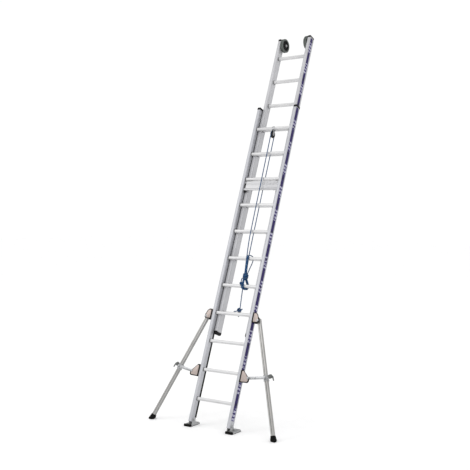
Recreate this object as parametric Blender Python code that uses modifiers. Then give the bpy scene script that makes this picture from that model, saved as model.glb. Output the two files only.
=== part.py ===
"""A two-section aluminium extension ladder, leaning, with a rope and pulley and two side stabilisers.

Everything but the feet is placed in the ladder's own axes, which the empty ladder_frame carries:
X across the ladder, Y (called n below) square to its plane towards the wall, Z (called s) up the slope.
"""

import math

import bmesh
import bpy
from mathutils import Matrix, Vector

# Driving dimensions, in metres and degrees.
LEAN = math.radians(21.2)
PITCH = 0.28
RUNGS = 11
GAP = 0.0003

FIRST_RUNG_S = 0.262
RUNG_SIZE = 0.030
RUNG_WALL = 0.0018
RUNG_CORNER = 0.006
HOLE_CORNER = 0.003
RUNG_PLUG_RADIUS = 0.010

BASE_STILE_X = 0.2195
BASE_STILE_WIDTH = 0.033
BASE_STILE_DEPTH = 0.066
BASE_STILE_N = 0.0
BASE_RUNG_N = -0.005
BASE_BOTTOM_S = 0.042
BASE_TOP_S = 3.294
STILE_WALL = 0.002
LIP_BOTTOM_S = 0.12

FLY_STILE_X = 0.181
FLY_STILE_WIDTH = 0.034
FLY_STILE_DEPTH = 0.078
FLY_STILE_N = 0.051
FLY_RUNG_N = 0.052
FLY_RISE = 3
FLY_RUNG_OFFSET = 0.014
FLY_BOTTOM_S = 0.906
FLY_TOP_S = 4.128
CAP_HEIGHT = 0.014

WHEEL_S = 4.085
WHEEL_N = 0.070
WHEEL_X = 0.142
WHEEL_RADIUS = 0.0725
WHEEL_WIDTH = 0.034
AXLE_RADIUS = 0.006

SHOE_PIVOT_S = 0.062
SHOE_INNER_X = 0.200
SHOE_WIDTH = 0.075
SHOE_FRONT = -0.033
SHOE_REAR = 0.115
TREAD_THICKNESS = 0.012
SHOE_PLATE = 0.006

LEG_TOP = Vector((0.300, 0.0, 1.055))
LEG_ANGLE = math.radians(20.8)
LEG_WIDTH = 0.032
LEG_DEPTH = 0.030
LEG_FOOT_START = 1.066
LEG_FOOT_END = 1.165
TIE_PIVOT = Vector((0.324, 0.0, 0.512))
COLLAR_REACH = 0.5535
COLLAR_HEIGHT = 0.056
PLATE_THICKNESS = 0.003
TIE_THICKNESS = 0.004
TIE_HALF_WIDTH = 0.014

SHEAVE_S = 2.997
SHEAVE_N = -0.0033
SHEAVE_ROPE_RADIUS = 0.0318
ROPE_RADIUS = 0.0045

LATCH_S = 2.392
LATCH_N = 0.002
LATCH_PAWL_X = 0.150
PLATE_BOTTOM_S = 2.380
PLATE_TOP_S = 2.478
PLATE_N = -0.0155

EYE_X = 0.021
EYE_N = 0.047
EYE_RISE = 0.036

SIDES = {"left": -1, "right": 1}
HANK_X = (0.018, 0.082)


def base_rung_s(number):
    return FIRST_RUNG_S + (number - 1) * PITCH


def fly_rung_s(number):
    return base_rung_s(number + FLY_RISE) + FLY_RUNG_OFFSET


# The model's origin is under the middle of its own depth, so the ladder's foot is in front of it.
REAR_Y = WHEEL_S * math.sin(LEAN) + WHEEL_N * math.cos(LEAN) + WHEEL_RADIUS
ORIGIN_Y = -(REAR_Y + SHOE_FRONT) / 2


def ladder_point(x, n, s):
    """A point in the ladder's axes, as a world point."""
    y = s * math.sin(LEAN) + n * math.cos(LEAN) + ORIGIN_Y
    z = s * math.cos(LEAN) - n * math.sin(LEAN)
    return Vector((x, y, z))


# Which ladder axes an outline's own axes and its extrusion follow.
UP_SLOPE = Matrix.Identity(4)
ACROSS = Matrix(((0, 0, 1, 0), (1, 0, 0, 0), (0, 1, 0, 0), (0, 0, 0, 1)))
FLAT = Matrix(((1, 0, 0, 0), (0, 0, -1, 0), (0, 1, 0, 0), (0, 0, 0, 1)))


def clear_scene():
    for obj in list(bpy.data.objects):
        bpy.data.objects.remove(obj, do_unlink=True)


def new_collection(name):
    found = bpy.data.collections.new(name)
    bpy.context.scene.collection.children.link(found)
    return found


def new_material(name, colour, roughness, metallic=0.0):
    mat = bpy.data.materials.new(name)
    mat.use_nodes = True
    shader = mat.node_tree.nodes["Principled BSDF"]
    shader.inputs["Base Color"].default_value = (*colour, 1.0)
    shader.inputs["Roughness"].default_value = roughness
    shader.inputs["Metallic"].default_value = metallic
    return mat


def new_empty(name, location, rotation=(0, 0, 0), parent=None):
    empty = bpy.data.objects.new(name, None)
    empty.location = location
    empty.rotation_euler = rotation
    empty.parent = parent
    PARTS.objects.link(empty)
    return empty


# Outlines: closed lists of points in a plane.


def arc(centre, radius, start, end, steps):
    turn = [math.radians(start + (end - start) * i / steps) for i in range(steps + 1)]
    return [(centre[0] + radius * math.cos(a), centre[1] + radius * math.sin(a)) for a in turn]


def circle(centre, radius, sides=20):
    return arc(centre, radius, 0, 360 - 360 / sides, sides - 1)


def rounded_rectangle(centre, width, height, radius, steps=2):
    u, v = width / 2 - radius, height / 2 - radius
    points = []
    for start, cu, cv in ((0, u, v), (90, -u, v), (180, -u, -v), (270, u, -v)):
        points += arc((centre[0] + cu, centre[1] + cv), radius, start, start + 90, steps)
    return points


def rounded_polygon(corners, radius, steps=3):
    """The polygon with each corner cut back by radius and rounded by a quadratic arc."""
    points = []
    for i, corner in enumerate(corners):
        here = Vector(corner)
        before = here + (Vector(corners[i - 1]) - here).normalized() * radius
        after = here + (Vector(corners[(i + 1) % len(corners)]) - here).normalized() * radius
        for k in range(steps + 1):
            t = k / steps
            p = before * (1 - t) ** 2 + here * (2 * t * (1 - t)) + after * t**2
            points.append((p.x, p.y))
    return points


def capsule(start, end, radius, steps=8):
    """The outline of a bar with round ends between two points."""
    turn = math.degrees(math.atan2(end[1] - start[1], end[0] - start[0]))
    return arc(end, radius, turn - 90, turn + 90, steps) + arc(start, radius, turn + 90, turn + 270, steps)


# Solids: meshes in the ladder's axes, or in a pivot's.


def mesh_of_curve(curve):
    """The curve's evaluated mesh, with its loose caps welded on."""
    holder = bpy.data.objects.new(curve.name, curve)
    bpy.context.scene.collection.objects.link(holder)
    evaluated = holder.evaluated_get(bpy.context.evaluated_depsgraph_get())
    mesh = bpy.data.meshes.new_from_object(evaluated)
    mesh.transform(holder.matrix_world)
    bpy.data.objects.remove(holder, do_unlink=True)
    bpy.data.curves.remove(curve)
    bm = bmesh.new()
    bm.from_mesh(mesh)
    bmesh.ops.remove_doubles(bm, verts=bm.verts, dist=0.00001)
    bmesh.ops.recalc_face_normals(bm, faces=bm.faces)
    bm.to_mesh(mesh)
    bm.free()
    return mesh


def prism(loops, low, high, axes):
    """The outlines filled and extruded from low to high along the third of the given axes."""
    curve = bpy.data.curves.new("outline", "CURVE")
    curve.dimensions = "2D"
    curve.fill_mode = "BOTH"
    curve.extrude = (high - low) / 2
    for loop in loops:
        spline = curve.splines.new("POLY")
        spline.points.add(len(loop) - 1)
        spline.use_cyclic_u = True
        for point, (u, v) in zip(spline.points, loop):
            point.co = (u, v, 0, 1)
    mesh = mesh_of_curve(curve)
    mesh.transform(axes @ Matrix.Translation((0, 0, (high + low) / 2)))
    return mesh


def box(low, high, bevel=0.0, segments=2):
    """A box between two corners, its edges rounded by bevel."""
    bm = bmesh.new()
    bmesh.ops.create_cube(bm, size=1)
    size = Vector(high) - Vector(low)
    middle = (Vector(high) + Vector(low)) / 2
    bmesh.ops.scale(bm, vec=size, verts=bm.verts)
    bmesh.ops.translate(bm, vec=middle, verts=bm.verts)
    if bevel:
        bmesh.ops.bevel(bm, geom=list(bm.edges), offset=bevel, segments=segments, profile=0.5, affect="EDGES")
    mesh = bpy.data.meshes.new("box")
    bm.to_mesh(mesh)
    bm.free()
    return mesh


def rod(radius, start, end, sides=16, end_radius=None):
    """A round bar, or a cone, between two points."""
    start, end = Vector(start), Vector(end)
    bm = bmesh.new()
    bmesh.ops.create_cone(
        bm,
        cap_ends=True,
        segments=sides,
        radius1=radius,
        radius2=radius if end_radius is None else end_radius,
        depth=(end - start).length,
    )
    turn = Vector((0, 0, 1)).rotation_difference(end - start).to_matrix().to_4x4()
    bmesh.ops.transform(bm, matrix=Matrix.Translation((start + end) / 2) @ turn, verts=bm.verts)
    mesh = bpy.data.meshes.new("rod")
    bm.to_mesh(mesh)
    bm.free()
    return mesh


def merged(meshes):
    """Several separate solids in one mesh, for a cutter."""
    bm = bmesh.new()
    for mesh in meshes:
        bm.from_mesh(mesh)
        bpy.data.meshes.remove(mesh)
    whole = bpy.data.meshes.new("cutters")
    bm.to_mesh(whole)
    bm.free()
    return whole


def boolean(target, mesh, operation):
    """Adds or cuts away a mesh given in the target's own axes."""
    tool = bpy.data.objects.new(f"{target.name}_{operation.lower()}", mesh)
    CUTTERS.objects.link(tool)
    tool.parent = target
    tool.hide_render = True
    tool.display_type = "WIRE"
    modifier = target.modifiers.new(operation.title(), "BOOLEAN")
    modifier.operation = operation
    modifier.solver = "EXACT"
    modifier.object = tool


def part(name, mesh, mat, parent, smooth=True, add=(), cut=()):
    """One piece of the ladder: a mesh in its parent's axes, with what is fused to it or cut from it."""
    mesh.name = name
    obj = bpy.data.objects.new(name, mesh)
    PARTS.objects.link(obj)
    obj.parent = parent
    mesh.materials.append(mat)
    if smooth:
        mesh.shade_smooth()
        mesh.set_sharp_from_angle(angle=math.radians(35))
    for extra in add:
        boolean(obj, extra, "UNION")
    for extra in cut:
        boolean(obj, extra, "DIFFERENCE")
    return obj


def turned(name, profile, mat, parent, steps=24):
    """A closed profile of (radius, x) points turned about the parent's X axis."""
    mesh = bpy.data.meshes.new(name)
    bm = bmesh.new()
    ring = [bm.verts.new((radius, 0, x)) for radius, x in profile]
    for i, vert in enumerate(ring):
        bm.edges.new((vert, ring[(i + 1) % len(ring)]))
    bm.to_mesh(mesh)
    bm.free()
    obj = part(name, mesh, mat, parent, smooth=False)
    obj.rotation_euler = (0, math.pi / 2, 0)
    screw = obj.modifiers.new("Turn", "SCREW")
    screw.steps = steps
    screw.render_steps = steps
    screw.use_merge_vertices = True
    screw.merge_threshold = 0.00001
    screw.use_smooth_shade = True
    return obj


# The two sections.


def stile_cutter(side, x, width, rung_n, rung_heights, bolts):
    """Square holes in the inner web for the rungs, round ones in the outer web over their ends."""
    inner, outer = x - width / 2, x + width / 2
    holes = []
    for s in rung_heights:
        square = rounded_rectangle((rung_n, s), RUNG_SIZE + 2 * GAP, RUNG_SIZE + 2 * GAP, HOLE_CORNER, 1)
        low, high = sorted((side * (inner - 0.006), side * (inner + 2 * STILE_WALL)))
        holes.append(prism([square], low, high, ACROSS))
        plug = (side * (outer - 2 * STILE_WALL), rung_n, s), (side * (outer + 0.002), rung_n, s)
        holes.append(rod(RUNG_PLUG_RADIUS, *plug, sides=12))
    for n, s, radius in bolts:
        reach = (side * (inner - 0.004), n, s), (side * (outer + 0.004), n, s)
        holes.append(rod(radius, *reach))
    return merged(holes)


def stile(name, side, x, n, width, depth, low, high, mat, cutter, add=()):
    outer = rounded_rectangle((side * x, n), width, depth, 0.003, 1)
    inner = rounded_rectangle((side * x, n), width - 2 * STILE_WALL, depth - 2 * STILE_WALL, 0.001, 1)
    tube = prism([outer, inner], low, high, UP_SLOPE)
    return part(name, tube, mat, LADDER, add=add, cut=[cutter])


def rung(name, n, s, half_length, mat, cut=()):
    outer = rounded_rectangle((n, s), RUNG_SIZE, RUNG_SIZE, RUNG_CORNER)
    hollow = RUNG_SIZE - 2 * RUNG_WALL
    inner = rounded_rectangle((n, s), hollow, hollow, RUNG_CORNER - RUNG_WALL)
    return part(name, prism([outer, inner], -half_length, half_length, ACROSS), mat, LADDER, cut=cut)


def end_cap(name, x, n, width, depth, s, direction, mat):
    """A rounded cover on a stile's end, with a plug that goes into the tube."""
    cover = box(
        (x - width / 2 - 0.001, n - depth / 2 - 0.001, min(s + direction * GAP, s + direction * CAP_HEIGHT)),
        (x + width / 2 + 0.001, n + depth / 2 + 0.001, max(s + direction * GAP, s + direction * CAP_HEIGHT)),
        bevel=0.005,
    )
    clear = STILE_WALL + GAP
    ends = sorted((s - direction * 0.012, s + direction * 0.006))
    plug = box(
        (x - width / 2 + clear, n - depth / 2 + clear, ends[0]),
        (x + width / 2 - clear, n + depth / 2 - clear, ends[1]),
        bevel=0.002,
        segments=1,
    )
    return part(name, cover, mat, LADDER, add=[plug])


def base_section():
    heights = [base_rung_s(k + 1) for k in range(RUNGS)]
    for label, side in SIDES.items():
        cutter = stile_cutter(
            side, BASE_STILE_X, BASE_STILE_WIDTH, BASE_RUNG_N, heights, [(0, SHOE_PIVOT_S, AXLE_RADIUS + GAP)]
        )
        inner_face = BASE_STILE_X - BASE_STILE_WIDTH / 2
        low, high = sorted((side * (inner_face - 0.0035), side * (inner_face + 0.001)))
        lip = box((low, 0.0265, LIP_BOTTOM_S), (high, 0.0322, BASE_TOP_S - 0.001))
        stile(
            f"base_stile_{label}",
            side,
            BASE_STILE_X,
            BASE_STILE_N,
            BASE_STILE_WIDTH,
            BASE_STILE_DEPTH,
            BASE_BOTTOM_S,
            BASE_TOP_S,
            ALUMINIUM,
            cutter,
            add=[lip],
        )
        end_cap(
            f"base_top_cap_{label}",
            side * BASE_STILE_X,
            BASE_STILE_N,
            BASE_STILE_WIDTH,
            BASE_STILE_DEPTH,
            BASE_TOP_S,
            1,
            BLACK_PLASTIC,
        )
    half = BASE_STILE_X + BASE_STILE_WIDTH / 2 - STILE_WALL - GAP
    for k, s in enumerate(heights):
        rung(f"base_rung_{k + 1:02d}", BASE_RUNG_N, s, half, RUNG_METAL)


def fly_section():
    heights = [fly_rung_s(k + 1) for k in range(RUNGS)]
    for label, side in SIDES.items():
        cutter = stile_cutter(
            side, FLY_STILE_X, FLY_STILE_WIDTH, FLY_RUNG_N, heights, [(WHEEL_N, WHEEL_S, AXLE_RADIUS + GAP)]
        )
        stile(
            f"fly_stile_{label}",
            side,
            FLY_STILE_X,
            FLY_STILE_N,
            FLY_STILE_WIDTH,
            FLY_STILE_DEPTH,
            FLY_BOTTOM_S,
            FLY_TOP_S,
            ALUMINIUM,
            cutter,
        )
        for end, s, direction in (("top", FLY_TOP_S, 1), ("foot", FLY_BOTTOM_S, -1)):
            end_cap(
                f"fly_{end}_cap_{label}",
                side * FLY_STILE_X,
                FLY_STILE_N,
                FLY_STILE_WIDTH - 0.0015,
                FLY_STILE_DEPTH - 0.001,
                s,
                direction,
                BLACK_PLASTIC,
            )
    half = FLY_STILE_X + FLY_STILE_WIDTH / 2 - STILE_WALL - GAP
    eye_hole = rod(0.004 + GAP, (EYE_X, EYE_N, heights[0] - 0.02), (EYE_X, EYE_N, heights[0] + 0.02))
    for k, s in enumerate(heights):
        rung(f"fly_rung_{k + 1:02d}", FLY_RUNG_N, s, half, RUNG_METAL, cut=[eye_hole] if k == 0 else ())


def wall_wheels():
    half = WHEEL_WIDTH / 2
    bore = AXLE_RADIUS + GAP
    for label, side in SIDES.items():
        pivot = new_empty(f"wall_wheel_{label}_pivot", (side * WHEEL_X, WHEEL_N, WHEEL_S), parent=LADDER)
        profile = [(bore, half), (0.016, half), (0.018, 0.008), (0.052, 0.008), (0.055, half - 0.004)]
        profile += [(r, x) for r, x in arc((0.0655, half - 0.008), 0.007, 90, 0, 2)]
        profile += [(r, -x) for r, x in reversed(profile)]
        turned(f"wall_wheel_{label}", profile, TYRE_RUBBER, pivot)
        stile_out = FLY_STILE_X + FLY_STILE_WIDTH / 2

        def at(x):
            return (side * x, WHEEL_N, WHEEL_S)

        shaft = rod(AXLE_RADIUS, at(WHEEL_X - half - 0.005), at(stile_out + 0.004))
        inner_head = rod(0.012, at(WHEEL_X - half - 0.008), at(WHEEL_X - half - GAP - 0.0005))
        outer_head = rod(0.011, at(stile_out + GAP), at(stile_out + 0.005), sides=6)
        part(f"wheel_axle_{label}", shaft, ZINC, LADDER, add=[inner_head, outer_head])


# The swivel shoes stand level, so their pivots don't follow the lean.


def swivel_shoes():
    for label, side in SIDES.items():
        centre = ladder_point(side * BASE_STILE_X, 0, SHOE_PIVOT_S)
        pivot = new_empty(f"shoe_{label}_pivot", centre)
        front, rear = SHOE_FRONT + ORIGIN_Y - centre.y, SHOE_REAR + ORIGIN_Y - centre.y
        inner, outer = SHOE_INNER_X - BASE_STILE_X, SHOE_INNER_X + SHOE_WIDTH - BASE_STILE_X
        low_x, high_x = sorted((side * inner, side * outer))
        floor = -centre.z
        tread = box((low_x, front, floor), (high_x, rear, floor + TREAD_THICKNESS), bevel=0.003)
        part(f"tread_pad_{label}", tread, BLACK_RUBBER, pivot)
        plate_low = floor + TREAD_THICKNESS + GAP
        plate_high = plate_low + SHOE_PLATE
        plate = box((low_x, front + 0.004, plate_low), (high_x, rear - 0.004, plate_high), bevel=0.0015)
        foot_z = plate_high - 0.002
        ear = rounded_polygon(
            [(-0.030, foot_z), (0.034, foot_z), (0.013, 0.016), (-0.013, 0.016)], 0.008
        )
        half = BASE_STILE_WIDTH / 2
        ears = []
        for inner_x, outer_x in ((-half - 0.0042, -half - 0.0004), (half + 0.0004, half + 0.0042)):
            low, high = sorted((side * inner_x, side * outer_x))
            ears.append(prism([ear], low, high, ACROSS))
        pin = rod(AXLE_RADIUS, (-side * (half + 0.003), 0, 0), (side * (half + 0.008), 0, 0))
        head = rod(0.011, (side * (half + 0.004), 0, 0), (side * (half + 0.0095), 0, 0), sides=6)
        part(f"swivel_shoe_{label}", plate, CAST_METAL, pivot, add=[*ears, pin, head])


# The stabilisers: a leg on each side, held out by a flat bar from a lower bracket to a sliding collar.


def bracket(name, side, front_corners, back_corners, back_n, mat, pins):
    """A front and a back plate, joined by a web that is bolted to the stile's outer face."""
    face = BASE_STILE_DEPTH / 2 + 0.0004
    outline = rounded_polygon([(side * x, s) for x, s in front_corners], 0.006)
    front = prism([outline], face, face + PLATE_THICKNESS, FLAT)
    outline = rounded_polygon([(side * x, s) for x, s in back_corners], 0.006)
    back = prism([outline], -back_n - PLATE_THICKNESS, -back_n, FLAT)
    heights = [s for _, s in front_corners]
    wall = BASE_STILE_X + BASE_STILE_WIDTH / 2 + GAP
    low, high = sorted((side * wall, side * (wall + PLATE_THICKNESS)))
    web = box((low, -face - 0.001, min(heights) + 0.0075), (high, 0.0185, max(heights) - 0.0075))
    return part(name, web, mat, LADDER, add=[front, back, *pins])


def stabiliser_brackets(label, side):
    face = BASE_STILE_DEPTH / 2 + 0.0004
    out = face + PLATE_THICKNESS
    half = LEG_DEPTH / 2 + 0.0006

    def leg_at(n):
        return (side * LEG_TOP.x, n, LEG_TOP.z)

    def tie_at(n):
        return (side * TIE_PIVOT.x, n, TIE_PIVOT.z)

    front = [(0.2375, 1.030), (0.298, 1.030), (0.314, 1.045), (0.313, 1.066), (0.292, 1.112)]
    front += [(0.272, 1.128), (0.2375, 1.128)]
    back = [(0.238, 1.031), (0.299, 1.031), (0.3145, 1.045), (0.3135, 1.064), (0.270, 1.100), (0.238, 1.100)]
    back_n = half + 0.001
    pins = [
        rod(AXLE_RADIUS, leg_at(-out - 0.002), leg_at(back_n + PLATE_THICKNESS + 0.002)),
        rod(0.0105, leg_at(-face - 0.001), leg_at(-half), sides=20),
        rod(0.010, leg_at(half), leg_at(back_n + 0.001)),
        rod(0.011, leg_at(-out - 0.005), leg_at(-out + 0.001), sides=6),
        rod(0.011, leg_at(back_n + 0.002), leg_at(back_n + PLATE_THICKNESS + 0.005), sides=6),
    ]
    bracket(f"upper_bracket_{label}", side, front, back, back_n, PINK_ZINC, pins)
    front = [(0.2375, 0.465), (0.326, 0.468), (0.337, 0.482), (0.338, 0.506), (0.262, 0.580), (0.2375, 0.580)]
    back_n = -BASE_STILE_DEPTH / 2 + TIE_THICKNESS + GAP
    pins = [
        rod(AXLE_RADIUS, tie_at(-out - 0.002), tie_at(back_n + PLATE_THICKNESS + 0.002)),
        rod(0.011, tie_at(-out - 0.005), tie_at(-out + 0.001), sides=6),
    ]
    bracket(f"lower_bracket_{label}", side, front, front, back_n, PINK_ZINC, pins)


def stabiliser_leg(label, side):
    pivot = new_empty(
        f"leg_{label}_pivot", (side * LEG_TOP.x, 0, LEG_TOP.z), (0, -side * LEG_ANGLE, 0), LADDER
    )
    outer = rounded_rectangle((0, 0), LEG_WIDTH, LEG_DEPTH, 0.003)
    inner = rounded_rectangle((0, 0), LEG_WIDTH - 0.004, LEG_DEPTH - 0.004, 0.0015)
    tube = prism([outer, inner], -LEG_FOOT_START, 0.020, UP_SLOPE)
    hole = rod(AXLE_RADIUS + GAP, (0, -0.03, 0), (0, 0.03, 0))
    part(f"stabiliser_leg_{label}", tube, LEG_METAL, pivot, cut=[hole])
    foot = box(
        (-LEG_WIDTH / 2 - 0.004, -LEG_DEPTH / 2 - 0.004, -LEG_FOOT_END),
        (LEG_WIDTH / 2 + 0.004, LEG_DEPTH / 2 + 0.004, -LEG_FOOT_START - GAP),
    )
    for vert in foot.vertices:
        if vert.co.z < -LEG_FOOT_START - 0.01:
            vert.co.x *= 1.3
            vert.co.y *= 1.25
    foot_part = part(f"leg_foot_{label}", foot, BLACK_RUBBER, pivot, smooth=False)
    rounding = foot_part.modifiers.new("Rounding", "BEVEL")
    rounding.width = 0.004
    rounding.segments = 2
    ground = box((-0.2, -0.2, -0.2), (0.2, 0.2, 0))
    tool = bpy.data.objects.new(f"leg_foot_{label}_ground", ground)
    CUTTERS.objects.link(tool)
    tool.location = ladder_point(side * (LEG_TOP.x + LEG_TOP.z * math.tan(LEG_ANGLE)), 0, 0)
    tool.location.z = 0
    tool.hide_render = True
    tool.display_type = "WIRE"
    cut = foot_part.modifiers.new("Ground", "BOOLEAN")
    cut.operation = "DIFFERENCE"
    cut.solver = "EXACT"
    cut.object = tool
    return pivot


def sliding_collar(label, side, leg_pivot):
    seat = new_empty(f"collar_{label}_seat", (0, 0, -COLLAR_REACH), parent=leg_pivot)
    clear = 2 * (GAP + 0.0001)
    outer = rounded_rectangle((0, 0), LEG_WIDTH + 0.010, LEG_DEPTH + 0.009, 0.004)
    inner = rounded_rectangle((0, 0), LEG_WIDTH + clear, LEG_DEPTH + clear, 0.003)
    sleeve = prism([outer, inner], -COLLAR_HEIGHT / 2, COLLAR_HEIGHT / 2, UP_SLOPE)
    face = BASE_STILE_DEPTH / 2
    stud = rod(0.009, (0, -LEG_DEPTH / 2 - 0.002, 0), (0, -face + TIE_THICKNESS + 0.0008, 0))
    edge = LEG_WIDTH / 2 + 0.003
    boss = rod(0.011, (side * edge, 0, 0.004), (side * (edge + 0.012), 0, 0.005))
    knob = rod(0.019, (side * (edge + 0.009), 0, 0.005), (side * (edge + 0.041), 0, 0.008))
    lever = rod(
        0.0085, (side * (edge + 0.036), 0, 0.004), (side * (edge + 0.052), 0, -0.036), 10, end_radius=0.005
    )
    part(f"sliding_collar_{label}", sleeve, CAST_METAL, seat, add=[stud, boss, knob, lever])


def tie_bar(label, side):
    leg = Vector((math.sin(LEG_ANGLE), 0, -math.cos(LEG_ANGLE)))
    reach = LEG_TOP + leg * COLLAR_REACH - TIE_PIVOT
    rise = math.atan2(reach.z, reach.x)
    pivot = new_empty(
        f"tie_bar_{label}_pivot", (side * TIE_PIVOT.x, 0, TIE_PIVOT.z), (0, -side * rise, 0), LADDER
    )
    outline = capsule((0, 0), (side * reach.length, 0), TIE_HALF_WIDTH)
    hole = circle((0, 0), AXLE_RADIUS + GAP, 16)
    back = BASE_STILE_DEPTH / 2 - TIE_THICKNESS
    bar = prism([outline, hole], back, back + TIE_THICKNESS, FLAT)
    part(f"tie_bar_{label}", bar, ZINC, pivot)


def stabilisers():
    for label, side in SIDES.items():
        stabiliser_brackets(label, side)
        leg_pivot = stabiliser_leg(label, side)
        sliding_collar(label, side, leg_pivot)
        tie_bar(label, side)


# The rope's pulley, the rope and the latch that holds the fly's rungs.


def pulley():
    rung_s = base_rung_s(RUNGS)
    pivot = new_empty("pulley_pivot", (0, SHEAVE_N, SHEAVE_S), parent=LADDER)
    groove = SHEAVE_ROPE_RADIUS - ROPE_RADIUS - 0.0006
    profile = [(AXLE_RADIUS - 0.002 + GAP, 0.0065), (0.034, 0.0065), (0.037, 0.0055)]
    profile += arc((groove + 0.005, 0), 0.005, 80, 280, 4)
    profile += [(0.037, -0.0055), (0.034, -0.0065), (AXLE_RADIUS - 0.002 + GAP, -0.0065)]
    turned("pulley_wheel", profile, BLACK_PLASTIC, pivot, steps=20)

    side = RUNG_SIZE + 0.0008
    seat = rounded_rectangle((BASE_RUNG_N, rung_s), side, side, RUNG_CORNER)
    band = rounded_rectangle((BASE_RUNG_N, rung_s), side + 0.005, side + 0.005, RUNG_CORNER + 0.002)
    saddle = prism([band, seat], -0.013, 0.013, ACROSS)
    cheek_top = rung_s - side / 2 - 0.001
    cheek = [(SHEAVE_N - 0.013, cheek_top)]
    cheek += arc((SHEAVE_N, SHEAVE_S), 0.013, 180, 360, 8)
    cheek += [(SHEAVE_N + 0.013, cheek_top)]
    cheeks = [prism([cheek], x, x + 0.0025, ACROSS) for x in (-0.0098, 0.0073)]
    pin = rod(AXLE_RADIUS - 0.002, (-0.012, SHEAVE_N, SHEAVE_S), (0.012, SHEAVE_N, SHEAVE_S))
    part("pulley_bracket", saddle, ZINC, LADDER, add=[*cheeks, pin])


def smooth_curve(points, count):
    """Points spaced evenly along a Catmull-Rom curve through the given ones."""
    knots = [Vector(p) for p in points]
    knots = [2 * knots[0] - knots[1], *knots, 2 * knots[-1] - knots[-2]]
    fine = []
    for a, b, c, d in zip(knots, knots[1:], knots[2:], knots[3:]):
        for k in range(24):
            t = k / 24
            fine.append(
                0.5 * (2 * b + (c - a) * t + (2 * a - 5 * b + 4 * c - d) * t**2 + (3 * b - a - 3 * c + d) * t**3)
            )
    fine.append(knots[-2])
    along = [0.0]
    for p, q in zip(fine, fine[1:]):
        along.append(along[-1] + (q - p).length)
    result, k = [], 0
    for i in range(count):
        target = along[-1] * i / (count - 1)
        while k < len(fine) - 2 and along[k + 1] < target:
            k += 1
        t = (target - along[k]) / (along[k + 1] - along[k])
        result.append(fine[k].lerp(fine[k + 1], min(t, 1.0)))
    return result


def rope(name, line):
    curve = bpy.data.curves.new(name, "CURVE")
    curve.dimensions = "3D"
    curve.bevel_depth = ROPE_RADIUS
    curve.bevel_resolution = 2
    curve.use_fill_caps = True
    spline = curve.splines.new("POLY")
    spline.points.add(len(line) - 1)
    for point, place in zip(spline.points, line):
        point.co = (*place, 1)
    part(name, mesh_of_curve(curve), ROPE_BLUE, LADDER)


# Route points of the rope in the ladder's axes (x, n, s). The fly's line hangs from the back of the
# sheave to the eye bolt; the hand line comes over the sheave and down to the hank at rungs 6 and 5.
ROPE_BACK_N = SHEAVE_N + SHEAVE_ROPE_RADIUS
ROPE_FRONT_N = SHEAVE_N - SHEAVE_ROPE_RADIUS
FLY_LINE = [
    (0.000, ROPE_BACK_N, SHEAVE_S - 0.004),
    (0.001, ROPE_BACK_N, 2.60),
    (0.002, ROPE_BACK_N, 2.20),
    (0.004, ROPE_BACK_N, 1.80),
    (0.009, ROPE_BACK_N, 1.46),
    (0.014, ROPE_BACK_N + 0.003, 1.34),
    (0.018, 0.038, 1.25),
    (EYE_X, EYE_N - 0.002, 1.172),
]
HAND_LINE_FRONT = [
    (0.002, ROPE_FRONT_N, 2.80),
    (0.005, ROPE_FRONT_N, 2.45),
    (0.008, ROPE_FRONT_N, 2.10),
    (0.012, ROPE_FRONT_N, 1.86),
    (0.020, ROPE_FRONT_N + 0.003, 1.76),
    (0.0265, -0.0300, 1.695),
]


def ropes():
    rope("rope_fly_line", smooth_curve(FLY_LINE, 34))
    over = [(0.0, n, s) for n, s in arc((SHEAVE_N, SHEAVE_S), SHEAVE_ROPE_RADIUS, 0, 180, 12)]
    rope("rope_hand_line", over[:-1] + smooth_curve([over[-1], *HAND_LINE_FRONT], 32))
    upper, lower = base_rung_s(6), base_rung_s(5)
    reach = RUNG_SIZE / 2 + 0.0100
    outline = capsule((BASE_RUNG_N, lower), (BASE_RUNG_N, upper), reach, 10)
    hole = RUNG_SIZE + 0.0008
    holes = [rounded_rectangle((BASE_RUNG_N, s), hole, hole, RUNG_CORNER) for s in (upper, lower)]
    part("rope_hank", prism([outline, *holes], *HANK_X, ACROSS), ROPE_BLUE, LADDER)


def eye_bolt():
    rung_s = fly_rung_s(1)
    half = RUNG_SIZE / 2
    ring_s = rung_s + EYE_RISE
    bpy.ops.mesh.primitive_torus_add(
        major_radius=0.0115, minor_radius=0.0035, major_segments=16, minor_segments=6
    )
    ring_object = bpy.context.object
    ring = ring_object.data
    bpy.data.objects.remove(ring_object, do_unlink=True)
    ring.transform(Matrix.Translation((EYE_X, EYE_N, ring_s)) @ Matrix.Rotation(math.pi / 2, 4, "X"))
    shank = rod(0.004, (EYE_X, EYE_N, rung_s - half - 0.014), (EYE_X, EYE_N, ring_s - 0.010))
    collar = rod(0.008, (EYE_X, EYE_N, rung_s + half + GAP), (EYE_X, EYE_N, rung_s + half + 0.004))
    nut = rod(0.008, (EYE_X, EYE_N, rung_s - half - 0.008), (EYE_X, EYE_N, rung_s - half - GAP), 6)
    part("rope_eye_bolt", ring, ZINC, LADDER, add=[shank, collar, nut])


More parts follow.
